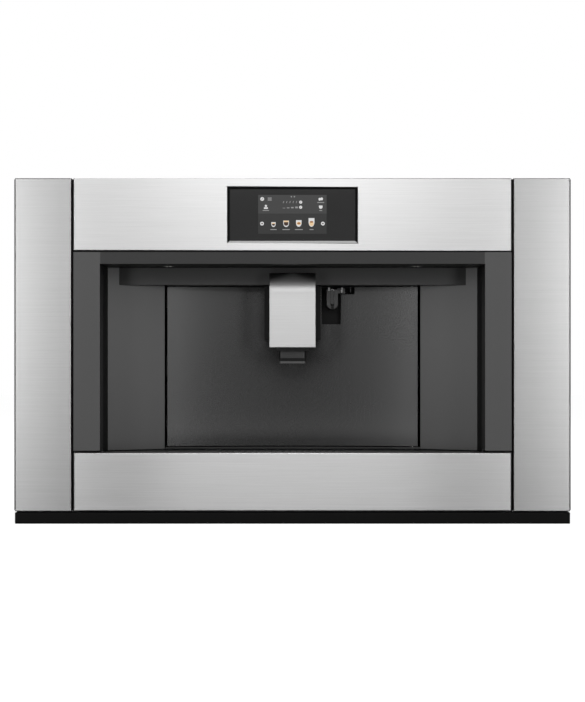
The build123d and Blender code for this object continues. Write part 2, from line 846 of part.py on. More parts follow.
with BuildPart() as door_panel:
    with BuildSketch(plan(door_bottom)):
        with BuildLine():
            ThreePointArc(door_face(-door_half), door_face(0), door_face(door_half))
            Line(door_face(door_half), door_face(door_half, door_skin))
            ThreePointArc(door_face(door_half, door_skin), door_face(0, door_skin),
                          door_face(-door_half, door_skin))
            Line(door_face(-door_half, door_skin), door_face(-door_half))
        make_face()
    extrude(amount=door_top - door_bottom)
    cut_niche(door_depth, door_back)
door_panel.part.label = "door_panel"
export_step(door_panel.part, "parts/door_panel.step")

door_pin_reach = 20.0
niche_box = (niche_left - niche_wall, niche_step_right + niche_wall)

with BuildPart() as door_frame:
    with BuildSketch(plan(door_bottom)):
        with BuildLine():
            ThreePointArc(door_face(-door_half, door_skin), door_face(0, door_skin),
                          door_face(door_half, door_skin))
            Polyline(door_face(door_half, door_skin), (door_half, y_at(door_back)),
                     (-door_half, y_at(door_back)), door_face(-door_half, door_skin))
        make_face()
    extrude(amount=door_top - door_bottom)
    block((door_rail - door_half, niche_box[0]), (door_depth, door_back),
          (door_bottom + door_rail, door_top - door_rail), mode=Mode.SUBTRACT)
    block((niche_box[0], door_half - door_rail), (door_depth, door_back),
          (door_bottom + door_rail, niche_bottom - niche_wall), mode=Mode.SUBTRACT)
    block((niche_right + niche_wall, door_half - door_rail), (door_depth, door_back),
          (niche_bottom - niche_wall, niche_step_bottom - niche_wall), mode=Mode.SUBTRACT)
    cut_niche(door_depth, door_back)
    for pin_z in ((door_bottom, door_bottom + door_pin_reach), (door_top - door_pin_reach, door_top)):
        rod(hinge_x, hinge_depth, pin_z, pin_radius, mode=Mode.SUBTRACT)
door_frame.part.label = "door_frame"
export_step(door_frame.part, "parts/door_frame.step")

with BuildPart() as hinge_pins:
    rod(hinge_x, hinge_depth, (side_bottom, door_bottom + door_pin_reach), pin_radius)
    rod(hinge_x, hinge_depth, (door_top - door_pin_reach, header_bottom + hinge_plate_thick),
        pin_radius)
hinge_pins.part.label = "hinge_pins"
export_step(hinge_pins.part, "parts/hinge_pins.step")

catch_plate_inset = 2.0

with BuildPart() as catch_plate:
    block((catch_plate_inset - door_half, catch_inner), (door_back, door_back + catch_plate_thick),
          (catch_low, catch_high))
catch_plate.part.label = "catch_plate"
export_step(catch_plate.part, "parts/catch_plate.step")

with BuildPart() as spout_guide:
    with BuildSketch(plan(guide_bottom)):
        with BuildLine():
            Polyline(door_face(guide_half), (guide_half, y_at(guide_front)),
                     (-guide_half, y_at(guide_front)), door_face(-guide_half))
            ThreePointArc(door_face(-guide_half), door_face(0), door_face(guide_half))
        make_face()
    extrude(amount=door_top - guide_bottom)
    guide_inner = guide_half - guide_wall
    neck_half = guide_inner - guide_lip
    block((-guide_inner, guide_inner), (guide_front + guide_lip, guide_channel_back),
          (guide_bottom, door_top), mode=Mode.SUBTRACT)
    block((-neck_half, neck_half), (guide_front, guide_front + guide_lip),
          (guide_bottom, door_top), mode=Mode.SUBTRACT)
spout_guide.part.label = "spout_guide"
export_step(spout_guide.part, "parts/spout_guide.step")

# ---------------------------------------------------------------- spout

with BuildPart() as spout_cover:
    with BuildSketch(Plane.YZ):
        with BuildLine():
            bend_z = cover_top - cover_bend
            bend_depth = cover_front + cover_bend
            Line((y_at(cover_front), cover_bottom), (y_at(cover_front), bend_z))
            RadiusArc((y_at(cover_front), bend_z), (y_at(bend_depth), cover_top), cover_bend)
            Polyline((y_at(bend_depth), cover_top), (y_at(cover_back), cover_top),
                     (y_at(cover_back), cover_bottom), (y_at(cover_front), cover_bottom))
        make_face()
    extrude(amount=cover_half, both=True)
    cover_mouths = [spout_cover.faces().sort_by(Axis.Z)[0], spout_cover.faces().sort_by(Axis.Y)[-1]]
    offset(amount=-steel_wall, openings=cover_mouths)
spout_cover.part.label = "spout_cover"
export_step(spout_cover.part, "parts/spout_cover.step")

core_half = cover_half - steel_wall
core_front = cover_front + steel_wall
core_top = cover_top - cover_bend
block_set_back = 6.5
block_front = core_front + block_set_back
block_length = 34.0
block_back = block_front + block_length
block_corner = 4.0
neck_clear = 0.5
groove_deep = 1.5
groove_high = 4.5
outlet_deep = 12.0

with BuildPart() as spout_body:
    block((-core_half, core_half), (core_front, cover_back), (cover_bottom, core_top))
    block((slide_clearance - guide_inner, guide_inner - slide_clearance),
          (guide_front + guide_lip + slide_clearance, guide_channel_back - slide_clearance),
          (slide_bottom, slide_top))
    block((neck_clear - neck_half, neck_half - neck_clear),
          (cover_back, guide_front + guide_lip + slide_clearance), (slide_bottom, core_top))
    block((-spout_tab_half, spout_tab_half), (core_front, block_back),
          (cover_bottom - spout_tab_height, cover_bottom))
    with BuildSketch(plan(spout_block_bottom)):
        with Locations((0, y_at((block_front + block_back) / 2))):
            RectangleRounded(2 * spout_block_half, block_back - block_front, block_corner)
    extrude(amount=cover_bottom - spout_tab_height - spout_block_bottom)
    groove_low = spout_block_bottom + spout_lip
    block((-spout_block_half, spout_block_half), (block_front, block_front + groove_deep),
          (groove_low, groove_low + groove_high), mode=Mode.SUBTRACT)
    for step in (-0.5, 0.5):
        rod(step * outlet_spacing, (block_front + block_back) / 2,
            (spout_block_bottom, spout_block_bottom + outlet_deep), outlet_radius, mode=Mode.SUBTRACT)
spout_body.part.label = "spout_body"
export_step(spout_body.part, "parts/spout_body.step")

# ---------------------------------------------------------------- nozzle

housing_left = niche_left - niche_wall
housing_right = niche_step_right + niche_wall

housing_foot = 4.0

with BuildPart() as nozzle_housing:
    block((housing_left, housing_right), (housing_front, bay_front),
          (niche_bottom - housing_foot, door_top))
nozzle_housing.part.label = "nozzle_housing"
export_step(nozzle_housing.part, "parts/nozzle_housing.step")

nozzle_arm_bottom = niche_step_bottom + 1.0
nozzle_arm_top = nozzle_top + 2.0
nozzle_arm_length = 18.5
nozzle_arm_right = nozzle_x + nozzle_arm_length
nozzle_arm_set_back = 8.0
nozzle_hole = 2.6
nozzle_hole_deep = 14.0
nozzle_hole_set_back = 9.0

with BuildPart() as connection_nozzle:
    with BuildSketch(front_plane(nozzle_front)):
        with BuildLine():
            left = nozzle_x - nozzle_width / 2
            right = nozzle_x + nozzle_width / 2
            round_z = nozzle_bottom + nozzle_width / 2
            Polyline((left, round_z), (left, nozzle_top), (right, nozzle_top), (right, round_z))
            ThreePointArc((right, round_z), (nozzle_x, nozzle_bottom), (left, round_z))
        make_face()
    extrude(amount=nozzle_front - housing_front)
    block((right, nozzle_arm_right), (nozzle_front + nozzle_arm_set_back, housing_front),
          (nozzle_arm_bottom, nozzle_arm_top))
    rod(nozzle_x, nozzle_front + nozzle_hole_set_back,
        (nozzle_bottom, nozzle_bottom + nozzle_hole_deep), nozzle_hole, mode=Mode.SUBTRACT)
connection_nozzle.part.label = "connection_nozzle"
export_step(connection_nozzle.part, "parts/connection_nozzle.step")

# ---------------------------------------------------------------- drip drawer

with BuildPart() as drawer_fascia:
    block((-fascia_half, fascia_half), (0, panel_fold), (steel_bottom, lower_fascia_top))
    block((steel_wall - fascia_half, fascia_half - steel_wall), (steel_wall, panel_fold),
          (steel_bottom + steel_wall, lower_fascia_top - steel_wall), mode=Mode.SUBTRACT)
drawer_fascia.part.label = "drawer_fascia"
export_step(drawer_fascia.part, "parts/drawer_fascia.step")

bowl_floor = tray_bottom + 3.0
ledge = 6.0
carrier_rise = 30.0
side_pocket_inner = bowl_half + tray_wall
pocket_roof = shelf_z - tray_wall
carrier_half = grounds_half + grille_fit + tray_wall
float_post = 3.0
float_post_height = 35.0
float_post_top = bowl_floor + float_post_height

with BuildPart() as drip_tray:
    block((-tray_half, tray_half), (steel_wall, tray_back), (tray_bottom, shelf_z))
    ledge_z = grille_top - grille_thick
    block((-bowl_half - grille_fit, bowl_half + grille_fit),
          (bowl_front - grille_fit, bowl_back + grille_fit), (ledge_z, shelf_z), mode=Mode.SUBTRACT)
    block((ledge - bowl_half, bowl_half - ledge), (bowl_front + ledge, bowl_back - ledge),
          (bowl_floor, ledge_z), mode=Mode.SUBTRACT)
    for side in (-1, 1):
        block(both(side, side_pocket_inner, tray_half - tray_wall),
              (steel_wall + tray_wall, tray_back - tray_wall), (tray_bottom, pocket_roof),
              mode=Mode.SUBTRACT)
    block((-carrier_half, carrier_half), (tray_back, grounds_back + grille_fit + tray_wall),
          (tray_bottom, tray_bottom + carrier_rise))
    block((tray_wall - carrier_half, carrier_half - tray_wall),
          (grounds_front - grille_fit, grounds_back + grille_fit),
          (tray_bottom + tray_wall, tray_bottom + carrier_rise), mode=Mode.SUBTRACT)
    rod(float_x, float_depth, (bowl_floor, float_post_top), float_post)
drip_tray.part.label = "drip_tray"
export_step(drip_tray.part, "parts/drip_tray.step")

grounds_wall = 2.0
grounds_corner = 8.0

with BuildPart() as grounds_container:
    grounds_floor = tray_bottom + tray_wall
    with BuildSketch(plan(grounds_floor)):
        with Locations((0, y_at((grounds_front + grounds_back) / 2))):
            RectangleRounded(2 * grounds_half, grounds_back - grounds_front, grounds_corner)
    extrude(amount=grounds_top - grounds_floor)
    offset(amount=-grounds_wall, openings=grounds_container.faces().sort_by(Axis.Z)[-1])
grounds_container.part.label = "grounds_container"
export_step(grounds_container.part, "parts/grounds_container.step")

grille_slots = 20
grille_slot_pitch = 9.0
grille_slot_width = 4.5
grille_slot_length = 46.0
grille_slot_shift = -18.0
grille_slot_bridge = 8.0
float_hole_gap = 1.5
float_hole = float_radius + float_hole_gap

with BuildPart() as cup_grille:
    block((-bowl_half, bowl_half), (bowl_front, bowl_back), (ledge_z, grille_top))
    with BuildSketch(plan(ledge_z)):
        with Locations((grille_slot_shift, y_at((bowl_front + bowl_back) / 2))):
            with GridLocations(grille_slot_pitch, grille_slot_length + grille_slot_bridge,
                               grille_slots, 2):
                Rectangle(grille_slot_width, grille_slot_length)
    extrude(amount=grille_thick, mode=Mode.SUBTRACT)
    rod(float_x, float_depth, (ledge_z, grille_top), float_hole, mode=Mode.SUBTRACT)
cup_grille.part.label = "cup_grille"
export_step(cup_grille.part, "parts/cup_grille.step")

float_rest_height = 21.0
float_bottom = bowl_floor + float_rest_height
float_drop = 0.6
float_top = grille_top - float_drop
float_play = 0.4
float_bore = float_post + float_play

with BuildPart() as tray_float:
    rod(float_x, float_depth, (float_bottom, float_top), float_radius)
    rod(float_x, float_depth, (float_bottom, float_post_top), float_bore, mode=Mode.SUBTRACT)
tray_float.part.label = "tray_float"
export_step(tray_float.part, "parts/tray_float.step")

# ---------------------------------------------------------------- brewing

puck_half = 40.0
puck_set_back = 15.0
puck_front = bay_front + puck_set_back
puck_length = 80.0
puck_back = puck_front + puck_length
chute_half = 18.0
chute_set_back = 15.0
chute_front = bay_front + chute_set_back
chute_length = 22.0
chute_back = chute_front + chute_length
piston_radius = chamber_bore - piston_clearance
screw_seat = 6.0
screw_seat_radius = 9.0
screw_play = 0.3
bay_flange_rise = 8.0

with BuildPart() as brew_bay:
    block((bay_wall - jamb_half, jamb_half - bay_wall), (bay_front, bay_front + bay_wall),
          (side_bottom + bay_flange_rise, header_bottom))
    block((bay_left, bay_right), (bay_front, bulkhead_depth), (bay_bottom, bay_top))
    block((bay_left + bay_wall, bay_right - bay_wall), (bay_front, bulkhead_depth - bay_wall),
          (bay_bottom + bay_wall, bay_top - bay_wall), mode=Mode.SUBTRACT)
    block((brew_x - puck_half, brew_x + puck_half), (puck_front, puck_back),
          (bay_bottom, bay_bottom + bay_wall), mode=Mode.SUBTRACT)
    block((brew_x - chute_half, brew_x + chute_half), (chute_front, chute_back),
          (bay_top - bay_wall, bay_top), mode=Mode.SUBTRACT)
    rod(brew_x, brew_depth, (piston_bottom, bay_top - bay_wall), piston_radius)
    rod(brew_x, screw_depth, (bay_bottom + bay_wall, bay_bottom + bay_wall + screw_seat),
        screw_seat_radius)
    rod(brew_x, screw_depth, (bay_bottom + bay_wall, bay_bottom + bay_wall + screw_seat),
        screw_radius + screw_play, mode=Mode.SUBTRACT)
brew_bay.part.label = "brew_bay"
export_step(brew_bay.part, "parts/brew_bay.step")

nut_radius = 9.0
arm_height = 14.0
arm_half = 7.0
chamber_floor = 6.0

with BuildPart() as brew_carriage:
    rod(brew_x, brew_depth, (chamber_bottom, chamber_top), chamber_radius)
    block((brew_x - arm_half, brew_x + arm_half), (brew_depth, screw_depth),
          (chamber_bottom, chamber_bottom + arm_height))
    rod(brew_x, screw_depth, (chamber_bottom, chamber_bottom + arm_height), nut_radius)
    rod(brew_x, brew_depth, (chamber_bottom + chamber_floor, chamber_top), chamber_bore, mode=Mode.SUBTRACT)
    rod(brew_x, screw_depth, (chamber_bottom, chamber_bottom + arm_height),
        screw_radius + slide_clearance, mode=Mode.SUBTRACT)
brew_carriage.part.label = "brew_carriage"
export_step(brew_carriage.part, "parts/brew_carriage.step")

gear_radius = 14.0
gear_teeth = 16
gear_thick = 7.0
end_play = 0.5
screw_top_gap = 4.0
gear_bottom = bay_bottom + bay_wall + screw_seat + end_play
tooth_gap = 2.4

with BuildPart() as brew_screw:
    rod(brew_x, screw_depth, (bay_bottom + bay_wall + end_play, bay_top - bay_wall - screw_top_gap),
        screw_radius)
    rod(brew_x, screw_depth, (gear_bottom, gear_bottom + gear_thick), gear_radius)
    with BuildSketch(plan(gear_bottom)):
        with Locations((brew_x, y_at(screw_depth))):
            with PolarLocations(gear_radius, gear_teeth):
                Rectangle(2 * tooth_gap, tooth_gap)
    extrude(amount=gear_thick, mode=Mode.SUBTRACT)
brew_screw.part.label = "brew_screw"
export_step(brew_screw.part, "parts/brew_screw.step")

# ---------------------------------------------------------------- grinder

burr_bore = 33.0
burr_floor = 4.0
burr_shaft = 3.0
shaft_play = 0.4
shaft_bore = burr_shaft + shaft_play
duct_reach = 62.0
duct_half = 14.0
duct_low = 6.0
duct_high = 26.0

with BuildPart() as burr_housing:
    rod(grinder_x, grinder_depth, (motor_top, burr_housing_top), burr_housing_radius)
    block((grinder_x, grinder_x + duct_reach), (grinder_depth - duct_half, grinder_depth + duct_half),
          (motor_top + duct_low, motor_top + duct_high))
    rod(grinder_x, grinder_depth, (motor_top + burr_floor, burr_housing_top), burr_bore,
        mode=Mode.SUBTRACT)
    rod(grinder_x, grinder_depth, (motor_top, motor_top + burr_floor), shaft_bore,
        mode=Mode.SUBTRACT)
burr_housing.part.label = "burr_housing"
export_step(burr_housing.part, "parts/burr_housing.step")

burr_radius = 24.0
burr_tip = 13.0
burr_rim = 6.0
burr_cone = 16.0
burr_sides = 12
burr_low = motor_top + burr_floor + 1.0
flute_width = 2.4
flute_thick = 3.0
flute_length = 30.0
burr_slope = degrees(atan2(burr_radius - burr_tip, burr_cone))

with BuildPart() as grinding_burr:
    with BuildSketch(plan(burr_low)):
        with Locations((grinder_x, y_at(grinder_depth))):
            RegularPolygon(burr_radius, burr_sides, major_radius=False)
    extrude(amount=burr_rim)
    with BuildSketch(plan(burr_low + burr_rim)):
        with Locations((grinder_x, y_at(grinder_depth))):
            RegularPolygon(burr_radius, burr_sides, major_radius=False)
    extrude(amount=burr_cone, taper=burr_slope)
    with Locations((grinder_x, y_at(grinder_depth), burr_low + burr_rim + burr_cone / 2)):
        with PolarLocations((burr_radius + burr_tip) / 2, burr_sides):
            Box(flute_thick, flute_width, flute_length, rotation=(0, -burr_slope, 0),
                mode=Mode.SUBTRACT)
    rod(grinder_x, grinder_depth, (motor_top + end_play, burr_low), burr_shaft)
grinding_burr.part.label = "grinding_burr"
export_step(grinding_burr.part, "parts/grinding_burr.step")

motor_ear = 8.0
motor_ear_inset = 10.0
shaft_pocket = 4.0

with BuildPart() as grinder_motor:
    rod(grinder_x, grinder_depth, (motor_bottom, motor_top), motor_radius)
    for ear_low in (motor_bottom + motor_ear_inset, motor_top - motor_ear_inset - motor_ear):
        block((grinder_x - motor_radius, grinder_x + motor_radius), (grinder_depth, bulkhead_depth),
              (ear_low, ear_low + motor_ear))
    rod(grinder_x, grinder_depth, (motor_top - shaft_pocket, motor_top), burr_shaft + 1,
        mode=Mode.SUBTRACT)
grinder_motor.part.label = "grinder_motor"
export_step(grinder_motor.part, "parts/grinder_motor.step")

hopper_rim = 24.0
hopper_neck_half = 22.0
hopper_neck_height = 18.0
hopper_collar = 4.0

with BuildPart() as bean_hopper:
    mouth_z = chassis_top - hopper_rim
    neck_top = burr_housing_top + hopper_neck_height
    with BuildSketch(front_plane(hopper_front)):
        with BuildLine():
            Polyline((hopper_left, chassis_top), (hopper_left, mouth_z),
                     (grinder_x - hopper_neck_half, neck_top),
                     (grinder_x - hopper_neck_half, burr_housing_top),
                     (grinder_x + hopper_neck_half, burr_housing_top),
                     (grinder_x + hopper_neck_half, neck_top),
                     (hopper_right, mouth_z), (hopper_right, chassis_top), close=True)
        make_face()
    extrude(amount=hopper_front - hopper_back)
    with BuildSketch(Plane.YZ.offset(hopper_left)):
        with BuildLine():
            Polyline((y_at(hopper_front), chassis_top), (y_at(hopper_front), mouth_z),
                     (y_at(grinder_depth - hopper_neck_half), neck_top),
                     (y_at(grinder_depth - hopper_neck_half), burr_housing_top),
                     (y_at(grinder_depth + hopper_neck_half), burr_housing_top),
                     (y_at(grinder_depth + hopper_neck_half), neck_top),
                     (y_at(hopper_back), mouth_z), (y_at(hopper_back), chassis_top), close=True)
        make_face()
    extrude(amount=hopper_width, mode=Mode.INTERSECT)
    hopper_ends = [bean_hopper.faces().sort_by(Axis.Z)[0], bean_hopper.faces().sort_by(Axis.Z)[-1]]
    offset(amount=-hopper_wall, openings=hopper_ends)
    rod(grinder_x, grinder_depth, (burr_housing_top, burr_housing_top + hopper_collar),
        burr_housing_radius)
    bore_half = hopper_neck_half - hopper_wall
    block((grinder_x - bore_half, grinder_x + bore_half),
          (grinder_depth - bore_half, grinder_depth + bore_half),
          (burr_housing_top, burr_housing_top + hopper_collar), mode=Mode.SUBTRACT)
bean_hopper.part.label = "bean_hopper"
export_step(bean_hopper.part, "parts/bean_hopper.step")

funnel_wall = 2.0
funnel_rim_height = 40.0
chute_inner_half = 15.0
chute_inner_depth = 8.0
chute_centre = (chute_front + chute_back) / 2
funnel_outer = funnel_half_width + funnel_wall
funnel_front = funnel_depth - funnel_half_depth - funnel_wall
funnel_back = funnel_depth + funnel_half_depth + funnel_wall
chute_outer = chute_inner_half + funnel_wall
chute_outer_depth = chute_inner_depth + funnel_wall

with BuildPart() as coffee_funnel:
    funnel_rim = chassis_top - funnel_rim_height
    with BuildSketch(front_plane(chute_centre - chute_outer_depth)):
        with BuildLine():
            Polyline((funnel_x - funnel_outer, chassis_top), (funnel_x - funnel_outer, funnel_rim),
                     (funnel_x - chute_outer, bay_top), (funnel_x + chute_outer, bay_top),
                     (funnel_x + funnel_outer, funnel_rim), (funnel_x + funnel_outer, chassis_top),
                     close=True)
        make_face()
    extrude(amount=chute_centre - chute_outer_depth - funnel_back)
    with BuildSketch(Plane.YZ.offset(funnel_x - funnel_outer)):
        with BuildLine():
            Polyline((y_at(funnel_front), chassis_top), (y_at(funnel_front), funnel_rim),
                     (y_at(chute_centre - chute_outer_depth), bay_top),
                     (y_at(chute_centre + chute_outer_depth), bay_top),
                     (y_at(funnel_back), funnel_rim), (y_at(funnel_back), chassis_top), close=True)
        make_face()
    extrude(amount=2 * funnel_outer, mode=Mode.INTERSECT)
    funnel_ends = [coffee_funnel.faces().sort_by(Axis.Z)[0],
                   coffee_funnel.faces().sort_by(Axis.Z)[-1]]
    offset(amount=-funnel_wall, openings=funnel_ends)
coffee_funnel.part.label = "coffee_funnel"
export_step(coffee_funnel.part, "parts/coffee_funnel.step")

# ---------------------------------------------------------------- lids and knob on the top

lid_z = chassis_top + sheet + cover_lift
lid_grip = 12.0
lid_grip_thick = 4.0
lid_grip_rise = 3.0


def hinged_lid(x, half, depth_range, knuckle_half):
    """A flat lid on the top cover with a finger grip in front and a knuckle at the back."""
    front, back = depth_range
    with BuildPart() as lid:
        block((x - half, x + half), depth_range, (lid_z, lid_z + lid_thick))
        block((x - lid_grip, x + lid_grip), (front, front + lid_grip_thick),
              (lid_z + lid_thick, lid_z + lid_thick + lid_grip_rise))
        knuckle(x, knuckle_half, back + knuckle_reach, lid_z)
    return lid


bean_lid = hinged_lid(grinder_x, hopper_width / 2 + lid_margin,
                      (hopper_front - lid_margin, bean_lid_back), bean_knuckle_half)
bean_lid.part.label = "bean_lid"
export_step(bean_lid.part, "parts/bean_lid.step")

funnel_lid = hinged_lid(funnel_x, funnel_half_width + lid_margin,
                        (funnel_depth - funnel_half_depth - lid_margin, funnel_lid_back),
                        funnel_knuckle_half)
funnel_lid.part.label = "funnel_lid"
export_step(funnel_lid.part, "parts/funnel_lid.step")

knob_radius = 14.0
knob_height = 12.0
knob_flutes = 12
knob_flute = 2.4
knob_shaft_length = 10.0

with BuildPart() as grind_knob:
    rod(knob_x, knob_depth, (lid_z, lid_z + knob_height), knob_radius)
    rod(knob_x, knob_depth, (chassis_top - knob_shaft_length, lid_z), knob_shaft)
    with BuildSketch(plan(lid_z)):
        with Locations((knob_x, y_at(knob_depth))):
            with PolarLocations(knob_radius, knob_flutes):
                Rectangle(knob_flute, knob_flute)
    extrude(amount=knob_height, mode=Mode.SUBTRACT)
grind_knob.part.label = "grind_knob"
export_step(grind_knob.part, "parts/grind_knob.step")

# ---------------------------------------------------------------- water system

tank_hinge_inset = 20.0
tank_hinge_depth = tank_back - tank_hinge_inset
tank_knuckle_half = 30.0
tank_bridge = 3.0
tank_length = tank_back - tank_front
tank_middle = ((tank_left + tank_right) / 2, y_at((tank_front + tank_back) / 2))

with BuildPart() as water_tank:
    with BuildSketch(plan(tank_bottom)):
        with Locations(tank_middle):
            RectangleRounded(tank_right - tank_left, tank_back - tank_front, tank_corner)
    extrude(amount=tank_top - tank_bottom)
    offset(amount=-tank_wall, openings=water_tank.faces().sort_by(Axis.Z)[-1])
    block((tank_left + tank_wall, tank_right - tank_wall),
          (tank_hinge_depth - knuckle_reach, tank_back - tank_wall), (tank_top - tank_bridge, tank_top))
    saddles(tank_middle[0], tank_knuckle_half, tank_hinge_depth, tank_top)
water_tank.part.label = "water_tank"
export_step(water_tank.part, "parts/water_tank.step")

tank_grip_half = 20.0
tank_grip_inset = 8.0
tank_grip_front = tank_front + tank_grip_inset
tank_grip_thick = 6.0
tank_grip_rise = 5.0

with BuildPart() as tank_lid:
    tank_lid_z = tank_top + cover_lift
    with BuildSketch(plan(tank_lid_z)):
        with Locations(tank_middle):
            RectangleRounded(tank_right - tank_left, tank_back - tank_front, tank_corner)
        with Locations((tank_middle[0], y_at(tank_hinge_depth - knuckle_reach + tank_length / 2))):
            Rectangle(tank_length, tank_length, mode=Mode.SUBTRACT)
    extrude(amount=lid_thick)
    block((tank_middle[0] - tank_grip_half, tank_middle[0] + tank_grip_half),
          (tank_grip_front, tank_grip_front + tank_grip_thick),
          (tank_lid_z + lid_thick, tank_lid_z + lid_thick + tank_grip_rise))
    knuckle(tank_middle[0], tank_knuckle_half, tank_hinge_depth, tank_lid_z)
tank_lid.part.label = "tank_lid"
export_step(tank_lid.part, "parts/tank_lid.step")

seat_thick = 8.0
seat_rim = 6.0
port_radius = 8.0
port_length = 14.0
tank_port_z = tank_bottom - seat_thick - port_length

with BuildPart() as tank_seat:
    block((tank_left - seat_rim, panel_inner), (tank_front - seat_rim, tank_back + seat_rim),
          (tank_bottom - seat_thick, tank_bottom))
    rod(tank_middle[0], pump_depth, (tank_port_z, tank_bottom - seat_thick), port_radius)
tank_seat.part.label = "tank_seat"
export_step(tank_seat.part, "parts/tank_seat.step")

pump_radius = 18.0
pump_length = 80.0
pump_block = 24.0
pump_block_height = 22.0
pump_foot = 6.0
pump_foot_inset = 12.0
hose_radius = 4.0

with BuildPart() as pump:
    with Locations((pump_x, y_at(pump_depth), pump_z)):
        Cylinder(pump_radius, pump_length, rotation=(0, 90, 0))
    block((pump_x - pump_block, pump_x + pump_block),
          (pump_depth - pump_block, pump_depth + pump_block),
          (pump_z - pump_block_height, pump_z + pump_block_height))
    for foot_x in (pump_x - pump_length / 2 + pump_foot_inset, pump_x + pump_block - pump_foot):
        block((foot_x, foot_x + pump_foot), (pump_depth - pump_block, pump_depth + pump_block),
              (base_top, pump_z))
pump.part.label = "pump"
export_step(pump.part, "parts/pump.step")

boiler_width = 100.0
boiler_gap = 26.0
boiler_left = boiler_gap - panel_inner
boiler_right = boiler_left + boiler_width
boiler_stand = 40.0
boiler_low = chassis_bottom + boiler_stand
boiler_height = 90.0
boiler_high = boiler_low + boiler_height
boiler_back_gap = 40.0
boiler_back = chassis_depth - boiler_back_gap
fin_height = 14.0
fin_count = 7
fin_pitch = 12.0
fin_gap = 7.0

with BuildPart() as boiler:
    block((boiler_left, boiler_right), (bulkhead_depth + sheet, boiler_back),
          (boiler_low, boiler_high))
    with BuildSketch(plan(boiler_high - fin_height)):
        with Locations(((boiler_left + boiler_right) / 2, y_at((bulkhead_depth + boiler_back) / 2))):
            with GridLocations(1, fin_pitch, 1, fin_count):
                Rectangle(boiler_right - boiler_left, fin_gap)
    extrude(amount=fin_height, mode=Mode.SUBTRACT)
boiler.part.label = "boiler"
export_step(boiler.part, "parts/boiler.step")

hose_elbow = 7.0
hose_x = tank_middle[0]

with BuildPart() as water_hoses:
    rod(hose_x, pump_depth, (pump_z, tank_port_z), hose_radius)
    block((hose_x - hose_elbow, hose_x + hose_elbow),
          (pump_depth - hose_elbow, pump_depth + hose_elbow), (pump_z - hose_elbow, pump_z + hose_elbow))
    with BuildSketch(Plane.YZ.offset(boiler_right)):
        with Locations((y_at(pump_depth), pump_z)):
            Circle(hose_radius)
    extrude(amount=pump_x - pump_length / 2 - boiler_right)
    with BuildSketch(Plane.YZ.offset(boiler_right)):
        with Locations((y_at(pump_depth), pump_z)):
            RegularPolygon(hose_elbow, 6)
    extrude(amount=hose_elbow)
water_hoses.part.label = "water_hoses"
export_step(water_hoses.part, "parts/water_hoses.step")

# ---------------------------------------------------------------- electrics

board_width = 210.0
board_inset = 22.0
board_left = hopper_left + board_inset
board_right = board_left + board_width
board_gap = 50.0
board_low = boiler_high + board_gap
board_top_gap = 50.0
board_high = chassis_top - board_top_gap
board_standoff = 5.0
board_thick = 1.6
standoff_size = 6.0
standoff_inset = 6.0
transformer_place = (20.0, 70.0)
transformer_size = (60.0, 38.0, 55.0)
relay_place = (100.0, 80.0)
relay_size = (30.0, 26.0, 60.0)
module_place = (140.0, 180.0)
module_size = (50.0, 14.0, 80.0)
capacitor_radius = 11.0
capacitor_height = 37.0
capacitor_pitch = 30.0
capacitor_left = 45.0
capacitor_drop = 175.0


def board_part(place, size):
    """A block on the main board, placed from its upper left corner to the right and down."""
    right, down = place
    width, tall, height = size
    block((board_left + right, board_left + right + width), (board_face, board_face + tall),
          (board_high - down, board_high - down + height))


with BuildPart() as main_board:
    board_front = bulkhead_depth + sheet + board_standoff
    board_face = board_front + board_thick
    block((board_left, board_right), (board_front, board_face), (board_low, board_high))
    with BuildSketch(front_plane(bulkhead_depth + sheet)):
        with Locations(((board_left + board_right) / 2, (board_low + board_high) / 2)):
            with GridLocations(board_width - 2 * standoff_inset,
                               board_high - board_low - 2 * standoff_inset, 2, 2):
                Rectangle(standoff_size, standoff_size)
    extrude(amount=-board_standoff)
    board_part(transformer_place, transformer_size)
    board_part(relay_place, relay_size)
    board_part(module_place, module_size)
    for step in range(2):
        rod(board_left + capacitor_left + capacitor_pitch * step, board_face + capacitor_radius + 1,
            (board_high - capacitor_drop, board_high - capacitor_drop + capacitor_height),
            capacitor_radius)
main_board.part.label = "main_board"
export_step(main_board.part, "parts/main_board.step")

socket_plate = 2.5
socket_edge = 2.0
socket_deep = 16.0
socket_pin = 1.0
socket_pin_half = 2.5
socket_pin_pitch = 7.0

with BuildPart() as power_inlet:
    block((inlet_x - inlet_width / 2, inlet_x + inlet_width / 2),
          (chassis_depth - inlet_body_depth, chassis_depth),
          (inlet_z - inlet_height / 2, inlet_z + inlet_height / 2))
    block((inlet_x - inlet_width / 2 - inlet_flange, inlet_x + inlet_width / 2 + inlet_flange),
          (chassis_depth, chassis_depth + socket_plate),
          (inlet_z - inlet_height / 2 - socket_edge, inlet_z + inlet_height / 2 + socket_edge))
    block((inlet_x - inlet_width / 2 + socket_edge, inlet_x + inlet_width / 2 - socket_edge),
          (chassis_depth - socket_deep, chassis_depth + socket_plate),
          (inlet_z - inlet_height / 2 + socket_edge, inlet_z + inlet_height / 2 - socket_edge),
          mode=Mode.SUBTRACT)
    for step in (-1, 0, 1):
        pin_x = inlet_x + step * socket_pin_pitch
        block((pin_x - socket_pin, pin_x + socket_pin),
              (chassis_depth - socket_deep, chassis_depth - socket_edge),
              (inlet_z - socket_pin_half, inlet_z + socket_pin_half))
power_inlet.part.label = "power_inlet"
export_step(power_inlet.part, "parts/power_inlet.step")

rocker_half = switch_width / 2 - switch_gap
rocker_gap = 2.4
rocker_height = switch_height - rocker_gap
rocker_deep = 9.0
rocker_proud = 2.0
rocker_dip = 1.4
rocker_pin = pivot_cheek + switch_gap

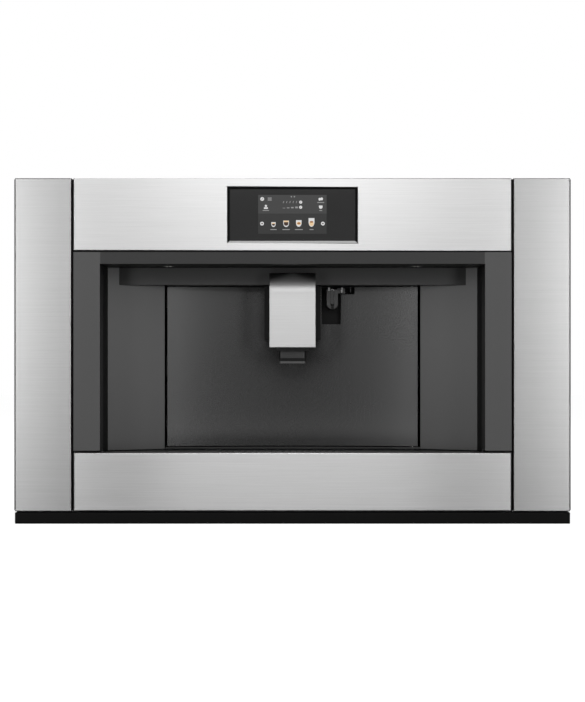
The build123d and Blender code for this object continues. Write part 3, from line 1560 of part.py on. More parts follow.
with BuildPart() as main_switch:
    with BuildSketch(Plane.YZ.offset(switch_x)):
        with BuildLine():
            rocker_low = inlet_z - rocker_height / 2
            rocker_high = inlet_z + rocker_height / 2
            Polyline((y_at(chassis_depth + rocker_proud), rocker_low),
                     (y_at(chassis_depth - rocker_deep), rocker_low + rocker_proud),
                     (y_at(chassis_depth - rocker_deep), rocker_high - rocker_proud),
                     (y_at(chassis_depth + rocker_proud), rocker_high))
            ThreePointArc((y_at(chassis_depth + rocker_proud), rocker_high),
                          (y_at(chassis_depth + rocker_proud - rocker_dip), inlet_z),
                          (y_at(chassis_depth + rocker_proud), rocker_low))
        make_face()
    extrude(amount=rocker_half, both=True)
    cross_rod((switch_x - rocker_half - rocker_pin, switch_x + rocker_half + rocker_pin),
              switch_pivot_depth, inlet_z, trunnion_radius)
main_switch.part.label = "main_switch"
export_step(main_switch.part, "parts/main_switch.step")
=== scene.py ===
import bpy
import bmesh
import json
from math import cos, pi, radians, sin
from mathutils import Euler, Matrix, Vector


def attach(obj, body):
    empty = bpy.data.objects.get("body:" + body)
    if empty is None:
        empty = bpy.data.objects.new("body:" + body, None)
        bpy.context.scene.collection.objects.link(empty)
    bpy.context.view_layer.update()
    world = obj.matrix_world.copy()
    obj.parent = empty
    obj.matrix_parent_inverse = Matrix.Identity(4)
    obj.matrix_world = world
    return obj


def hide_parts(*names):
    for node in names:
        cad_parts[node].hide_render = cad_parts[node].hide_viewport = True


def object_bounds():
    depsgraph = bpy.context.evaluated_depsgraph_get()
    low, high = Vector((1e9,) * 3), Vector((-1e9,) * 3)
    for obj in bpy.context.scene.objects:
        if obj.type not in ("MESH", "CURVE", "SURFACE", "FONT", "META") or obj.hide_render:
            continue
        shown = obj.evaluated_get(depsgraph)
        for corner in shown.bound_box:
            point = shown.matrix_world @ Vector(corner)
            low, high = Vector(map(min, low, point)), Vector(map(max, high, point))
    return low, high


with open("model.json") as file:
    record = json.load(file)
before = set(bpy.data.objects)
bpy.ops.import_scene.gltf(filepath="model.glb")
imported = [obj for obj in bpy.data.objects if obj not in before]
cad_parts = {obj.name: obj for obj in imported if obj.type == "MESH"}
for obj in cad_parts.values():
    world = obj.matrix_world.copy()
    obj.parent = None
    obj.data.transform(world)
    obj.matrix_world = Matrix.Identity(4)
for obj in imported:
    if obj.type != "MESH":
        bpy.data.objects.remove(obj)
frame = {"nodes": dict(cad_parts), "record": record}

cad_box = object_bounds()

# ------------ camera
# The machine is seen square from the front, from 2.5 m away at about half its height, so its
# front stays a true rectangle and only the alcove shows depth.
front_y = cad_box[0].y
photo_height = 702
metres_per_pixel = 0.001365
eye_distance = 2.5
eye_height = 0.236
sensor = 36.0

eye = bpy.data.cameras.new("eye")
eye.sensor_fit = "VERTICAL"
eye.sensor_height = sensor
eye.sensor_width = sensor
eye.lens = sensor * eye_distance / (photo_height * metres_per_pixel)
eye_object = bpy.data.objects.new("eye", eye)
eye_object.location = (0, front_y - eye_distance, eye_height)
eye_object.rotation_euler = (radians(90), 0, 0)
bpy.context.scene.collection.objects.link(eye_object)
bpy.context.scene.camera = eye_object
bpy.context.scene.view_settings.view_transform = "Standard"


# ------------ studio
# A pale floor and a white surround, with one wide soft lamp above the front, two upright soft
# lamps a side that the hollow door and the slanted walls mirror, a small one on the floor for
# the lower edges, and a weak lamp behind.
class Signal:
    """A socket in a node tree. Sums on it add Math nodes, and node() adds any other node."""

    def __init__(self, tree, socket=None):
        self.tree = tree
        self.socket = socket

    def node(self, kind, settings=(), inputs=(), output=0):
        made = self.tree.nodes.new(kind)
        for name, value in dict(settings).items():
            setattr(made, name, value)
        for name, value in dict(inputs).items():
            if isinstance(value, Signal):
                value.feed(made.inputs[name])
            elif isinstance(value, list):
                for part in value:
                    part.feed(made.inputs[name])
            else:
                made.inputs[name].default_value = value
        return Signal(self.tree, made.outputs[output])

    def feed(self, socket):
        self.tree.links.new(self.socket, socket)

    def maths(self, operation, first, second):
        return self.node("ShaderNodeMath", {"operation": operation}, {0: first, 1: second})

    def __add__(self, other):
        return self.maths("ADD", self, other)

    def __radd__(self, other):
        return self.maths("ADD", other, self)

    def __sub__(self, other):
        return self.maths("SUBTRACT", self, other)

    def __rsub__(self, other):
        return self.maths("SUBTRACT", other, self)

    def __mul__(self, other):
        return self.maths("MULTIPLY", self, other)

    def __rmul__(self, other):
        return self.maths("MULTIPLY", other, self)


def grey(level, tint=0.0):
    """A linear colour from a grey level, a little warmer or cooler with the tint."""
    return (level * (1 + tint), level, level * (1 - tint), 1)


def ray_kinds(tree):
    """Signals that are 1 for rays from the camera, from a mirror, and through clear plastic."""
    rays = tree.nodes.new("ShaderNodeLightPath")
    return [Signal(tree, rays.outputs["Is " + kind + " Ray"])
            for kind in ("Camera", "Glossy", "Transmission")]


world = bpy.data.worlds.new("studio")
world.use_nodes = True
bpy.context.scene.world = world
seen, mirrored, passed = ray_kinds(world.node_tree)
world_fill = 0.36
world_mirrored = 0.26
world_level = seen * (1 - world_fill) + mirrored * (world_mirrored - world_fill)
world_level = world_level + passed * (1 - world_fill) + world_fill
background = world.node_tree.nodes["Background"]
background.inputs["Color"].default_value = grey(1)
world_level.feed(background.inputs["Strength"])

half_floor = 7.0
floor_mesh = bpy.data.meshes.new("floor")
floor_mesh.from_pydata(
    [(-half_floor, -half_floor, 0), (half_floor, -half_floor, 0),
     (half_floor, half_floor, 0), (-half_floor, half_floor, 0)], [], [(0, 1, 2, 3)])
floor = bpy.data.objects.new("floor", floor_mesh)
bpy.context.scene.collection.objects.link(floor)
floor_paint = bpy.data.materials.new("floor_paint")
floor_paint.use_nodes = True
floor_tree = floor_paint.node_tree
floor_shader = floor_tree.nodes["Principled BSDF"]
floor_shader.inputs["Roughness"].default_value = 0.9
floor_shader.inputs["Specular IOR Level"].default_value = 0.0
floor_shader.inputs["Emission Color"].default_value = grey(1)
floor_seen, floor_mirrored, floor_passed = ray_kinds(floor_tree)
floor_white = 0.8
floor_dimmed = 0.15
floor_lift = 0.7
floor_tone = floor_white - floor_mirrored * (floor_white - floor_dimmed)
floor_tone.feed(floor_shader.inputs["Base Color"])
((floor_seen + floor_passed) * floor_lift).feed(floor_shader.inputs["Emission Strength"])
floor_mesh.materials.append(floor_paint)

machine_middle = (0, 0, 0.25)


def soft_lamp(name, place, width, height, power, target=machine_middle):
    """A rectangular area lamp at a place, turned to a target and itself unseen."""
    lamp = bpy.data.lights.new(name, "AREA")
    lamp.shape = "RECTANGLE"
    lamp.size = width
    lamp.size_y = height
    lamp.energy = power
    lamp_object = bpy.data.objects.new(name, lamp)
    lamp_object.location = place
    lamp_object.visible_camera = False
    aim = Vector(target) - Vector(place)
    lamp_object.rotation_euler = aim.to_track_quat("-Z", "Y").to_euler()
    bpy.context.scene.collection.objects.link(lamp_object)


soft_lamp("overhead_soft", (0, -2.5, 1.3), width=0.9, height=1.3, power=13.4)
soft_lamp("bounce_soft", (0, -0.75, 0.035), width=0.45, height=0.06, power=0.16,
          target=(0, front_y, 0.04))
hands = (("left", -1), ("right", 1))
for hand, way in hands:
    soft_lamp("upright_soft_" + hand, (way * 0.88, -2.3, 0.45), width=0.3, height=0.9, power=7.2)
    soft_lamp("wing_soft_" + hand, (way * 1.47, -1.55, 0.45), width=0.7, height=0.9, power=2.3)
soft_lamp("rear_soft", (0.4, 2.4, 1.9), width=1.6, height=1.2, power=16)


# ------------ mounting cradle
# A folded tray of galvanised sheet that is screwed to the niche floor. Its side walls carry
# the rails, and its front flanges carry the two side trims.
def new_finish(name, uniform):
    """A material with one Principled shader, whose even values sit on the shader's sockets."""
    material = bpy.data.materials.new(name)
    material.use_nodes = True
    shader = material.node_tree.nodes["Principled BSDF"]
    for socket, value in uniform.items():
        shader.inputs[socket].default_value = value
    return material, shader, Signal(material.node_tree)


def stretched_place(start, scale):
    """Object coordinates, stretched by a scale along each axis."""
    here = start.node("ShaderNodeTexCoord", output="Object")
    return start.node("ShaderNodeMapping", {}, {"Vector": here, "Scale": scale})


def noise(start, scale, detail=3.0):
    """Noise from 0 to 1 on stretched object coordinates. One scale serves all three axes."""
    scales = scale if isinstance(scale, tuple) else (scale, scale, scale)
    return start.node("ShaderNodeTexNoise", {},
                      {"Vector": stretched_place(start, scales), "Scale": 1.0,
                       "Detail": detail, "Roughness": 0.5})


def span(start, value, taken, given):
    """A value taken from one range to another, held within it."""
    return start.node("ShaderNodeMapRange", {"clamp": True},
                      {"Value": value, "From Min": taken[0], "From Max": taken[1],
                       "To Min": given[0], "To Max": given[1]})


def blend_colours(start, factor, first, second):
    """A mix of two colours by a factor."""
    return start.node("ShaderNodeMix", {"data_type": "RGBA"},
                      {0: factor, 6: first, 7: second}, output=2)


def feed(shader, bump_strength=0.0, bump_distance=0.0, bump=None, **signals):
    """Links signals to a shader's sockets, and a height through a Bump node to its normal."""
    for name, signal in signals.items():
        signal.feed(shader.inputs[name.replace("_", " ").title()])
    if bump is not None:
        raised = bump.node("ShaderNodeBump", {},
                           {"Strength": bump_strength, "Distance": bump_distance, "Height": bump})
        raised.feed(shader.inputs["Normal"])


def zinc_sheet_finish():
    """Galvanised sheet: crystal flakes of slightly different greys, a little worn."""
    material, shader, start = new_finish("zinc_sheet", {"Metallic": 0.9})
    flake_size = 0.012
    flakes = start.node("ShaderNodeTexVoronoi", {},
                        {"Vector": stretched_place(start, (1, 1, 1)), "Scale": 1 / flake_size},
                        output="Color")
    flake = start.node("ShaderNodeSeparateColor", {}, {"Color": flakes}, output=0)
    tone = flake * 0.35 + noise(start, 9) * 0.65
    feed(shader, base_color=blend_colours(start, tone, grey(0.36, -0.02), grey(0.56, -0.015)),
         roughness=span(start, tone, (0.2, 0.8), (0.34, 0.52)),
         bump=noise(start, 160), bump_strength=0.12, bump_distance=0.0003)
    return material


body_of = {node: body for body, members in frame["record"]["behaviour"]["bodies"].items()
           for node in members}
sharp_corner = radians(30)


def paint(mesh, material):
    """Gives a mesh one material, smooth faces, and hard edges at its sharp corners."""
    mesh.materials.clear()
    mesh.materials.append(material)
    mesh.shade_smooth()
    mesh.set_sharp_from_angle(angle=sharp_corner)


def add_piece(name, mesh, material, body, edge=0.0, steps=2):
    """Links a finished mesh as a piece on a body, with its edges eased and shaded smooth."""
    piece = bpy.data.objects.new(name, mesh)
    bpy.context.scene.collection.objects.link(piece)
    paint(mesh, material)
    if edge > 0:
        easing = piece.modifiers.new("eased_edges", "BEVEL")
        easing.width = edge
        easing.segments = steps
        easing.limit_method = "ANGLE"
        easing.angle_limit = sharp_corner
        easing.harden_normals = True
    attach(piece, body)
    return piece


def merged_copy(node):
    """The CAD node's mesh with its loose triangles merged and its flat faces made whole."""
    merge_distance = 1e-6
    flat_angle = radians(0.3)
    work = bmesh.new()
    work.from_mesh(frame["nodes"][node].data)
    bmesh.ops.remove_doubles(work, verts=work.verts, dist=merge_distance)
    bmesh.ops.dissolve_limit(work, angle_limit=flat_angle, verts=work.verts, edges=work.edges)
    work.verts.index_update()
    mesh = bpy.data.meshes.new(node)
    mesh.from_pydata([vert.co[:] for vert in work.verts], [],
                     [[vert.index for vert in face.verts] for face in work.faces])
    work.free()
    return mesh


def eased(node, material, edge=0.0004, steps=2):
    """The CAD piece with its sharp edges eased, in its finish. It stands for the node."""
    piece = add_piece(node + "_eased", merged_copy(node), material, body_of[node],
                      edge, steps)
    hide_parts(node)
    return piece


zinc = zinc_sheet_finish()
eased("mounting_cradle", zinc, edge=0.0006)


# ------------ telescopic rails
# Three rolled rail members a side, bright zinc plate with drawing marks along them. The outer
# ones are fixed to the cradle, the inner ones to the machine, and the middle ones run between.
def mottled_finish(name, uniform, scale, dark, light, rough, taken=(0.3, 0.7), detail=3.0,
                   bump_strength=0.0, bump_distance=0.0):
    """A finish whose colour and roughness follow one noise, and its bumps too if it has any."""
    material, shader, start = new_finish(name, uniform)
    mottle = noise(start, scale, detail)
    feed(shader, base_color=blend_colours(start, mottle, dark, light),
         roughness=span(start, mottle, taken, rough), bump=mottle if bump_strength else None,
         bump_strength=bump_strength, bump_distance=bump_distance)
    return material


rail_steel = mottled_finish("rail_steel", {"Metallic": 1.0}, scale=(700, 5, 700),
                            dark=grey(0.42, -0.02), light=grey(0.58, -0.01), rough=(0.26, 0.42),
                            taken=(0.25, 0.75), bump_strength=0.1, bump_distance=0.0002)
for member in ("outer_rails", "middle_rails", "inner_rails"):
    eased(member, rail_steel, edge=0.0004)


# ------------ rail rivets
# A row of flat-domed steel rivets on the outside of each cradle wall. They go through the wall
# and hold the outer rail members.
def add_grown(name, material, body, places, values, make, edge=0.0):
    """A piece made by a node tree with named inputs, which grows it on a list of places."""
    tree = bpy.data.node_groups.new(name, "GeometryNodeTree")
    kinds = {int: "NodeSocketInt", float: "NodeSocketFloat", tuple: "NodeSocketVector",
             Euler: "NodeSocketRotation"}
    tree.interface.new_socket("Geometry", in_out="INPUT", socket_type="NodeSocketGeometry")
    tree.interface.new_socket("Geometry", in_out="OUTPUT", socket_type="NodeSocketGeometry")
    named = {label: tree.interface.new_socket(label, in_out="INPUT",
                                              socket_type=kinds[type(value)])
             for label, value in values.items()}
    way_in = tree.nodes.new("NodeGroupInput")
    way_out = tree.nodes.new("NodeGroupOutput")
    given = {label: Signal(tree, way_in.outputs[label]) for label in ["Geometry", *values]}
    start = Signal(tree)
    whole = start.node("GeometryNodeRealizeInstances", {}, {"Geometry": make(start, given)})
    painted = start.node("GeometryNodeSetMaterial", {},
                         {"Geometry": whole, "Material": material})
    painted.feed(way_out.inputs["Geometry"])
    seed_mesh = bpy.data.meshes.new(name + "_places")
    seed_mesh.from_pydata(places, [], [])
    carrier = bpy.data.objects.new(name + "_places", seed_mesh)
    bpy.context.scene.collection.objects.link(carrier)
    growth = carrier.modifiers.new("growth", "NODES")
    growth.node_group = tree
    for label, value in values.items():
        growth[named[label].identifier] = value if isinstance(value, (int, float)) else value[:]
    graph = bpy.context.evaluated_depsgraph_get()
    mesh = bpy.data.meshes.new_from_object(carrier.evaluated_get(graph))
    bpy.data.objects.remove(carrier)
    add_piece(name, mesh, material, body, edge)


def vector(start, x, y, z):
    """A vector from three values."""
    return start.node("ShaderNodeCombineXYZ", {}, {"X": x, "Y": y, "Z": z})


def box(start, size, middle):
    """A box of a size around a middle point, both given as vectors."""
    cube = start.node("GeometryNodeMeshCube", {}, {"Size": size})
    return start.node("GeometryNodeTransform", {}, {"Geometry": cube, "Translation": middle})


def stand_on_places(start, given, part):
    """A part stood on every place, turned to face a given way."""
    return start.node("GeometryNodeInstanceOnPoints", {},
                      {"Points": given["Geometry"], "Instance": part, "Rotation": given["Facing"]})


def flat_dome(start, given, segments, rings, recesses=()):
    """The upper half of a flattened ball, with recesses cut into it."""
    radius = given["Head radius"]
    ball = start.node("GeometryNodeMeshUVSphere", {},
                      {"Segments": segments, "Rings": rings, "Radius": radius})
    flat = start.node("GeometryNodeTransform", {},
                      {"Geometry": ball, "Scale": vector(start, 1.0, 1.0, given["Flatness"])})
    under = box(start, vector(start, radius * 3, radius * 3, radius * 2),
                vector(start, 0.0, 0.0, radius * -1.0))
    return start.node("GeometryNodeMeshBoolean", {"operation": "DIFFERENCE", "solver": "EXACT"},
                      {"Mesh 1": flat, "Mesh 2": [under, *recesses]})


def rivets(start, given):
    """Flat-domed rivet heads."""
    return stand_on_places(start, given, flat_dome(start, given, segments=20, rings=12))


cradle_side = 0.2925
rivet_height = 0.083
first_rivet = 0.06
rivet_pitch = 0.076
rivet_depths = [first_rivet + rivet_pitch * step for step in range(6)]
for hand, way in hands:
    add_grown("rail_rivets_" + hand, rail_steel, "surround",
              [(way * cradle_side, front_y + depth, rivet_height) for depth in rivet_depths],
              {"Head radius": 0.0034, "Flatness": 0.42, "Facing": Euler((0, way * pi / 2, 0))},
              rivets)


# ------------ side trims and base strip
# Two folded panels of brushed stainless steel beside the machine, clipped on black plastic
# carriers whose edge shows by a millimetre, and a black steel strip under all of it.
def brushed_steel_finish(name, low, high, rough_low, rough_high):
    """Stainless steel brushed along X: fine streaks, with the highlight drawn out upright."""
    material, shader, start = new_finish(
        name, {"Metallic": 1.0, "Anisotropic": 0.72, "Anisotropic Rotation": 0.25})
    streaks = noise(start, (22, 40, 2400), detail=4.0)
    threads = noise(start, (7, 20, 700), detail=2.0)
    grain = streaks * 0.6 + threads * 0.4
    feed(shader, base_color=blend_colours(start, span(start, grain, (0.25, 0.75), (0, 1)),
                                          grey(low), grey(high)),
         roughness=span(start, grain, (0.25, 0.75), (rough_low, rough_high)),
         bump=streaks, bump_strength=0.05, bump_distance=0.0001)
    return material


def satin_plastic_finish(name, level, rough, specular, spread=0.1, bump_strength=0.04):
    """Moulded plastic with a fine spark-eroded skin and faint, slow changes of tone."""
    material, shader, start = new_finish(name, {"Specular IOR Level": specular})
    rough_play = 0.02
    skin = noise(start, 1300, detail=2.0)
    drift = noise(start, 5, detail=1.0)
    tone = skin * 0.4 + drift * 0.6
    feed(shader, base_color=blend_colours(start, tone, grey(level * (1 - spread)),
                                          grey(level * (1 + spread))),
         roughness=span(start, tone, (0.3, 0.7), (rough - rough_play, rough + rough_play)),
         bump=skin, bump_strength=bump_strength, bump_distance=0.0002)
    return material


def folded(node, material, bend):
    """A folded steel front: the edges of its face are bends with a real radius."""
    face_depth = 1e-5
    other_share = 0.1
    piece = eased(node, material, edge=bend, steps=5)
    piece.modifiers["eased_edges"].limit_method = "WEIGHT"
    weights = piece.data.attributes.new("bevel_weight_edge", "FLOAT", "EDGE")
    for edge in piece.data.edges:
        ends = [piece.data.vertices[vert].co.y for vert in edge.vertices]
        on_face = all(abs(depth - front_y) < face_depth for depth in ends)
        weights.data[edge.index].value = 1.0 if on_face else other_share


trim_steel = brushed_steel_finish("trim_steel", low=0.38, high=0.44, rough_low=0.31,
                                  rough_high=0.38)
black_plastic = satin_plastic_finish("black_plastic", level=0.012, rough=0.42, specular=0.35)
black_strip = satin_plastic_finish("black_strip", level=0.003, rough=0.4, specular=0.08)
folded("side_trims", trim_steel, bend=0.0014)
# The carriers are real black parts. The millimetre of their edge beside the steel is there as
# painted shade for the dark line along the trims' edges.
eased("trim_carriers", black_plastic, edge=0.0004)
eased("base_strip", black_strip, edge=0.0006)


# ------------ gap shade strips
# Dull black rubber lips on the trims' carriers, set as painted shade in the gap beside the
# machine. They close that gap, and the machine slides past them.
def block_mesh(name, x_range, depth_range, z_range):
    """A plain block between two corners, its depths counted from the front."""
    work = bmesh.new()
    bmesh.ops.create_cube(work, size=1.0)
    spans = (x_range, [front_y + depth for depth in depth_range], z_range)
    for vert in work.verts:
        vert.co = [low + (high - low) * (share + 0.5) for (low, high), share in zip(spans, vert.co)]
    bmesh.ops.recalc_face_normals(work, faces=work.faces)
    mesh = bpy.data.meshes.new(name)
    work.to_mesh(mesh)
    work.free()
    return mesh


# The same black rubber makes the rear pads and, as painted shade, the lips in the front gaps.
rubber_and_painted_shade = mottled_finish("pad_and_shade_rubber", {"Specular IOR Level": 0.2}, scale=260,
                        dark=grey(0.004), light=grey(0.012), rough=(0.72, 0.86))
shade_strip_edge = 0.0003


def add_shade_strip(name, body, x_range, depth_range, z_range):
    """A black rubber lip in a gap of the front, there as painted shade."""
    add_piece(name, block_mesh(name, x_range, depth_range, z_range), rubber_and_painted_shade, body,
              shade_strip_edge)


# These black lips fill the gaps beside the machine as painted shade.
shade_strip_inner = 0.2994
shade_strip_outer = 0.3018
for hand, way in hands:
    add_shade_strip("gap_shade_strip_" + hand, "surround", x_range=sorted((way * shade_strip_inner, way * shade_strip_outer)),
             depth_range=(0.013, 0.0178), z_range=(0.0175, 0.4715))

# ------------ chassis
# The machine's own box of galvanised sheet, folded and screwed: a base, two vented sides, a top
# cover with openings for the lids, and a bulkhead between brewing and electrics.
for sheet_part in ("chassis_base", "side_panel_left", "side_panel_right", "top_cover",
                   "bulkhead"):
    eased(sheet_part, zinc, edge=0.0003)


# ------------ rear panel
# The vented back of the chassis, galvanised sheet with four tapered rubber pads that keep it
# off the wall.
def repaint(piece, materials, choose, cuts=()):
    """Cuts a piece's faces along planes and gives them other materials, chosen by face."""
    if cuts:
        work = bmesh.new()
        work.from_mesh(piece.data)
        for point, normal in cuts:
            bmesh.ops.bisect_plane(work, geom=[*work.verts, *work.edges, *work.faces],
                                   plane_co=point, plane_no=normal)
        work.to_mesh(piece.data)
        work.free()
    for material in materials:
        piece.data.materials.append(material)
    for face in piece.data.polygons:
        face.material_index = choose(face.center, face.normal)


back_plane = front_y + 0.47
pad_rise = 0.0002
repaint(eased("rear_panel", zinc, edge=0.0003), [rubber_and_painted_shade],
        lambda middle, normal: 1 if middle.y > back_plane + pad_rise else 0)


# ------------ rear and top screws
# Pan-head sheet screws of plated steel with a cross recess, in rows along the edges of the rear
# panel and the top cover.
def cross_screws(start, given):
    """Pan-head screws with a cross recess."""
    radius = given["Head radius"]
    slot_middle = vector(start, 0.0, 0.0, radius * 0.75)
    slots = [box(start, vector(start, radius * 1.15, radius * 0.24, radius), slot_middle),
             box(start, vector(start, radius * 0.24, radius * 1.15, radius), slot_middle)]
    return stand_on_places(start, given,
                           flat_dome(start, given, segments=24, rings=14, recesses=slots))


screw_head = {"Head radius": 0.0032, "Flatness": 0.55}
rear_column = 0.268
rear_heights = (0.05, 0.15, 0.25, 0.35, 0.43)
rear_places = [(x, back_plane, z) for x in (-rear_column, rear_column) for z in rear_heights]
rear_places += [(x, back_plane, z) for x in (-0.16, 0.0, 0.16) for z in (0.032, 0.442)]
cover_height = 0.4512
cover_column = 0.265
cover_front = 0.045
cover_back = 0.455
top_places = [(x, front_y + depth, cover_height) for x in (-cover_column, cover_column)
              for depth in (cover_front, 0.16, cover_back)]
top_places += [(x, front_y + depth, cover_height) for x in (-0.1, 0.09)
               for depth in (cover_front, cover_back)]
for name, places, facing in (
        ("rear_screws", rear_places, Euler((-pi / 2, 0, 0))),
        ("top_screws", top_places, Euler((0, 0, 0)))):
    add_grown(name, rail_steel, "machine", places,
              {**screw_head, "Facing": facing}, cross_screws)


# ------------ side screws and vent hoods
# The same screws down the edges of both side panels, and the half-round hoods that the press
# raises over the vent slots to keep dripping water out.
def round_ended_rod(start, radius, length, sides, rings):
    """An upright rod with a ball on each end."""
    rod = start.node("GeometryNodeMeshCylinder", {},
                     {"Vertices": sides, "Radius": radius, "Depth": length})
    ball = start.node("GeometryNodeMeshUVSphere", {},
                      {"Segments": sides, "Rings": rings, "Radius": radius})
    ends = [start.node("GeometryNodeTransform", {},
                       {"Geometry": ball, "Translation": vector(start, 0.0, 0.0, length * half)})
            for half in (-0.5, 0.5)]
    return start.node("GeometryNodeMeshBoolean", {"operation": "UNION", "solver": "EXACT"},
                      {"Mesh 2": [rod, *ends]})


def louvre_hoods(start, given):
    """Flattened half-round hoods, each as long as its slot."""
    rod = round_ended_rod(start, given["Hood radius"], given["Length"], sides=24, rings=12)
    lying = start.node("GeometryNodeTransform", {},
                       {"Geometry": rod, "Rotation": Euler((pi / 2, 0, 0)),
                        "Scale": (0.8, 1.0, 1.0)})
    return stand_on_places(start, given, lying)


chassis_side = 0.2772
side_places = [(depth, height) for depth in (0.04, 0.25, 0.455) for height in (0.16, 0.435)]
lowest_louvre = 0.3564
louvre_pitch = 0.009
louvre_depth = 0.4
louvre_heights = [lowest_louvre + louvre_pitch * step for step in range(9)]
for hand, way in hands:
    add_grown("side_screws_" + hand, rail_steel, "machine",
              [(way * chassis_side, front_y + depth, height) for depth, height in side_places],
              {**screw_head, "Facing": Euler((0, way * pi / 2, 0))}, cross_screws)
    add_grown("side_louvres_" + hand, zinc, "machine",
              [(way * chassis_side, front_y + louvre_depth, height) for height in louvre_heights],
              {"Hood radius": 0.0022, "Length": 0.054, "Facing": Euler((0, 0, 0))}, louvre_hoods)

# ------------ front frame
# The satin grey moulding round the alcove: two pillars and a darker lintel, with returns that
# run back to the cheeks. Black rubber lips close its gaps to the steel panels above and below
# as painted shade.
frame_grey = satin_plastic_finish("frame_grey", level=0.06, rough=0.45, specular=0.35)
lintel_grey = satin_plastic_finish("lintel_grey", level=0.021, rough=0.45, specular=0.3)
# The returns get a darker copy of the pillars' grey as painted shade on their inward sides.
return_painted_shade = satin_plastic_finish("return_painted_shade", level=0.034, rough=0.5, specular=0.2)
pillar_edge = 0.2625
lintel_low = 0.35495
return_start = 0.003
cut_slack = 0.0001


def frame_colour_and_shade(middle, normal):
    """The lintel is darker than the pillars, and the inward returns carry painted shade."""
    if abs(middle.x) < pillar_edge - cut_slack and middle.z > lintel_low - cut_slack:
        return 1
    inward = abs(middle.x) < pillar_edge + return_start
    return 2 if middle.y > front_y + return_start and inward else 0


repaint(eased("front_frame", frame_grey, edge=0.0005, steps=3), [lintel_grey, return_painted_shade],
        frame_colour_and_shade,
        [((-pillar_edge, 0, 0), (1, 0, 0)), ((pillar_edge, 0, 0), (1, 0, 0)),
         ((0, 0, lintel_low), (0, 0, 1))])
# Black rubber lips in the frame's gaps to the drawer and the fascia, as painted shade.
for hand, way in hands:
    add_shade_strip("frame_foot_shade_strip_" + hand, "machine", x_range=sorted((way * 0.267, way * 0.2988)),
             depth_range=(0.006, 0.019), z_range=(0.0979, 0.0999))
add_shade_strip("frame_head_shade_strip", "machine", x_range=(-0.2985, 0.2985), depth_range=(0.003, 0.012),
         z_range=(0.3712, 0.3728))

# ------------ alcove walls
# The two slanted cheeks and the band above the door are moulded in the door's grey, the ceiling
# and the sill in black. The cheeks' sideways faces are painted black as shade. They stand behind
# the front frame.
cheek_grey = satin_plastic_finish("cheek_grey", level=0.066, rough=0.3, specular=0.65,
                                  spread=0.04, bump_strength=0.005)
band_grey = satin_plastic_finish("band_grey", level=0.03, rough=0.4, specular=0.4, spread=0.05)
# This near-black is the black plastic of the bezel, guide, spout and nozzle housing, and painted
# shade on the cheeks' sides and the door's niche walls.
deep_black_and_painted_shade = satin_plastic_finish("deep_black_and_painted_shade", level=0.004, rough=0.5, specular=0.15)
side_facing = 0.9
# The cheeks' faces that turn sideways, the alcove's side walls, are painted black as shade.
for name in ("alcove_side_left", "alcove_side_right"):
    repaint(eased(name, cheek_grey, edge=0.0005), [deep_black_and_painted_shade],
            lambda middle, normal: 1 if abs(normal.x) > side_facing else 0)
eased("header_band", band_grey, edge=0.0006)
eased("alcove_ceiling", black_plastic, edge=0.0004)
eased("door_sill", black_plastic, edge=0.0003)

# ------------ hinge plates and magnet
# Two dark plates with bores for the door's pins, fixed in the right jamb above and below the
# door, and the magnet block that holds the door shut at the left.
hinge_grey = satin_plastic_finish("hinge_grey", level=0.018, rough=0.4, specular=0.4)
eased("hinge_plates", hinge_grey, edge=0.0003)
eased("catch_magnet", black_plastic, edge=0.0004)


# ------------ cup lights
# Frosted plastic lenses of the small lamps in the alcove's ceiling, two a side, set flush in
# its openings. They barely glow.
def lamp_lens_finish():
    """Frosted plastic, faintly lit."""
    material, shader, start = new_finish(
        "lamp_lens", {"Roughness": 0.35, "Emission Strength": 0.1})
    frost = noise(start, 900)
    feed(shader, base_color=blend_colours(start, frost, grey(0.1), grey(0.14, 0.02)),
         emission_color=blend_colours(start, frost, grey(0.7), grey(1.0, 0.03)))
    return material


eased("cup_lights", lamp_lens_finish(), edge=0.0003)

# ------------ upper fascia
# The folded front above the alcove, brushed stainless steel with bent edges and an opening for
# the controls, fixed to the front of the chassis.
steel = brushed_steel_finish("brushed_steel", low=0.54, high=0.63, rough_low=0.31,
                             rough_high=0.38)
folded("upper_fascia", steel, bend=0.0022)

# ------------ control panel
# A bevelled black frame in the fascia's opening, whose lower bevel carries a painted highlight,
# with a hard-coated smoked glass in it and the display module behind the glass.
# The light grey on the lower bevel of the black frame is a painted highlight.
painted_highlight_bevel = mottled_finish("painted_highlight_bevel", {"Metallic": 0.35}, scale=(60, 900, 900),
                              dark=grey(0.74), light=grey(0.86), rough=(0.42, 0.5))
smoked_glass = mottled_finish("smoked_glass", {"Specular IOR Level": 0.5}, scale=14,
                              dark=grey(0.021), light=grey(0.025), rough=(0.035, 0.05))
bezel_low = 0.3885
bezel_slope = 0.2


def bezel_painted_highlight(middle, normal):
    """Only the lower bevel, which faces up to the light, gets a painted highlight."""
    lower_bevel = middle.z < bezel_low and normal.z > bezel_slope and normal.y < 0
    return 1 if lower_bevel else 0


repaint(eased("control_bezel", deep_black_and_painted_shade, edge=0.0001), [painted_highlight_bevel], bezel_painted_highlight)
eased("control_glass", smoked_glass, edge=0.0001)
eased("display_module", black_plastic, edge=0.0003)

# ------------ display picture
# What the colour display lights up in the glass: an upper row with plain symbols and strength
# bars, and a lower row of four cups between two arrows. Places are counted in the display's
# own raster, to the right and down.
glass_y = front_y + 0.0045
film = 0.00005
raster_step = 0.00011774
raster_middle = 784
raster_top = 0.46437


def lit_finish(name, dim, bright):
    """A lit area of the display under the glass, with its faint raster."""
    material, shader, start = new_finish(
        name, {"Base Color": grey(0.021), "Roughness": 0.045, "Emission Strength": 1.0})
    raster = noise(start, 1500)
    feed(shader, emission_color=blend_colours(start, raster, dim, bright))
    return material


def place_on_glass(across, down):
    """A point of the display's raster as X and Z."""
    return ((across - raster_middle) * raster_step, raster_top - down * raster_step)


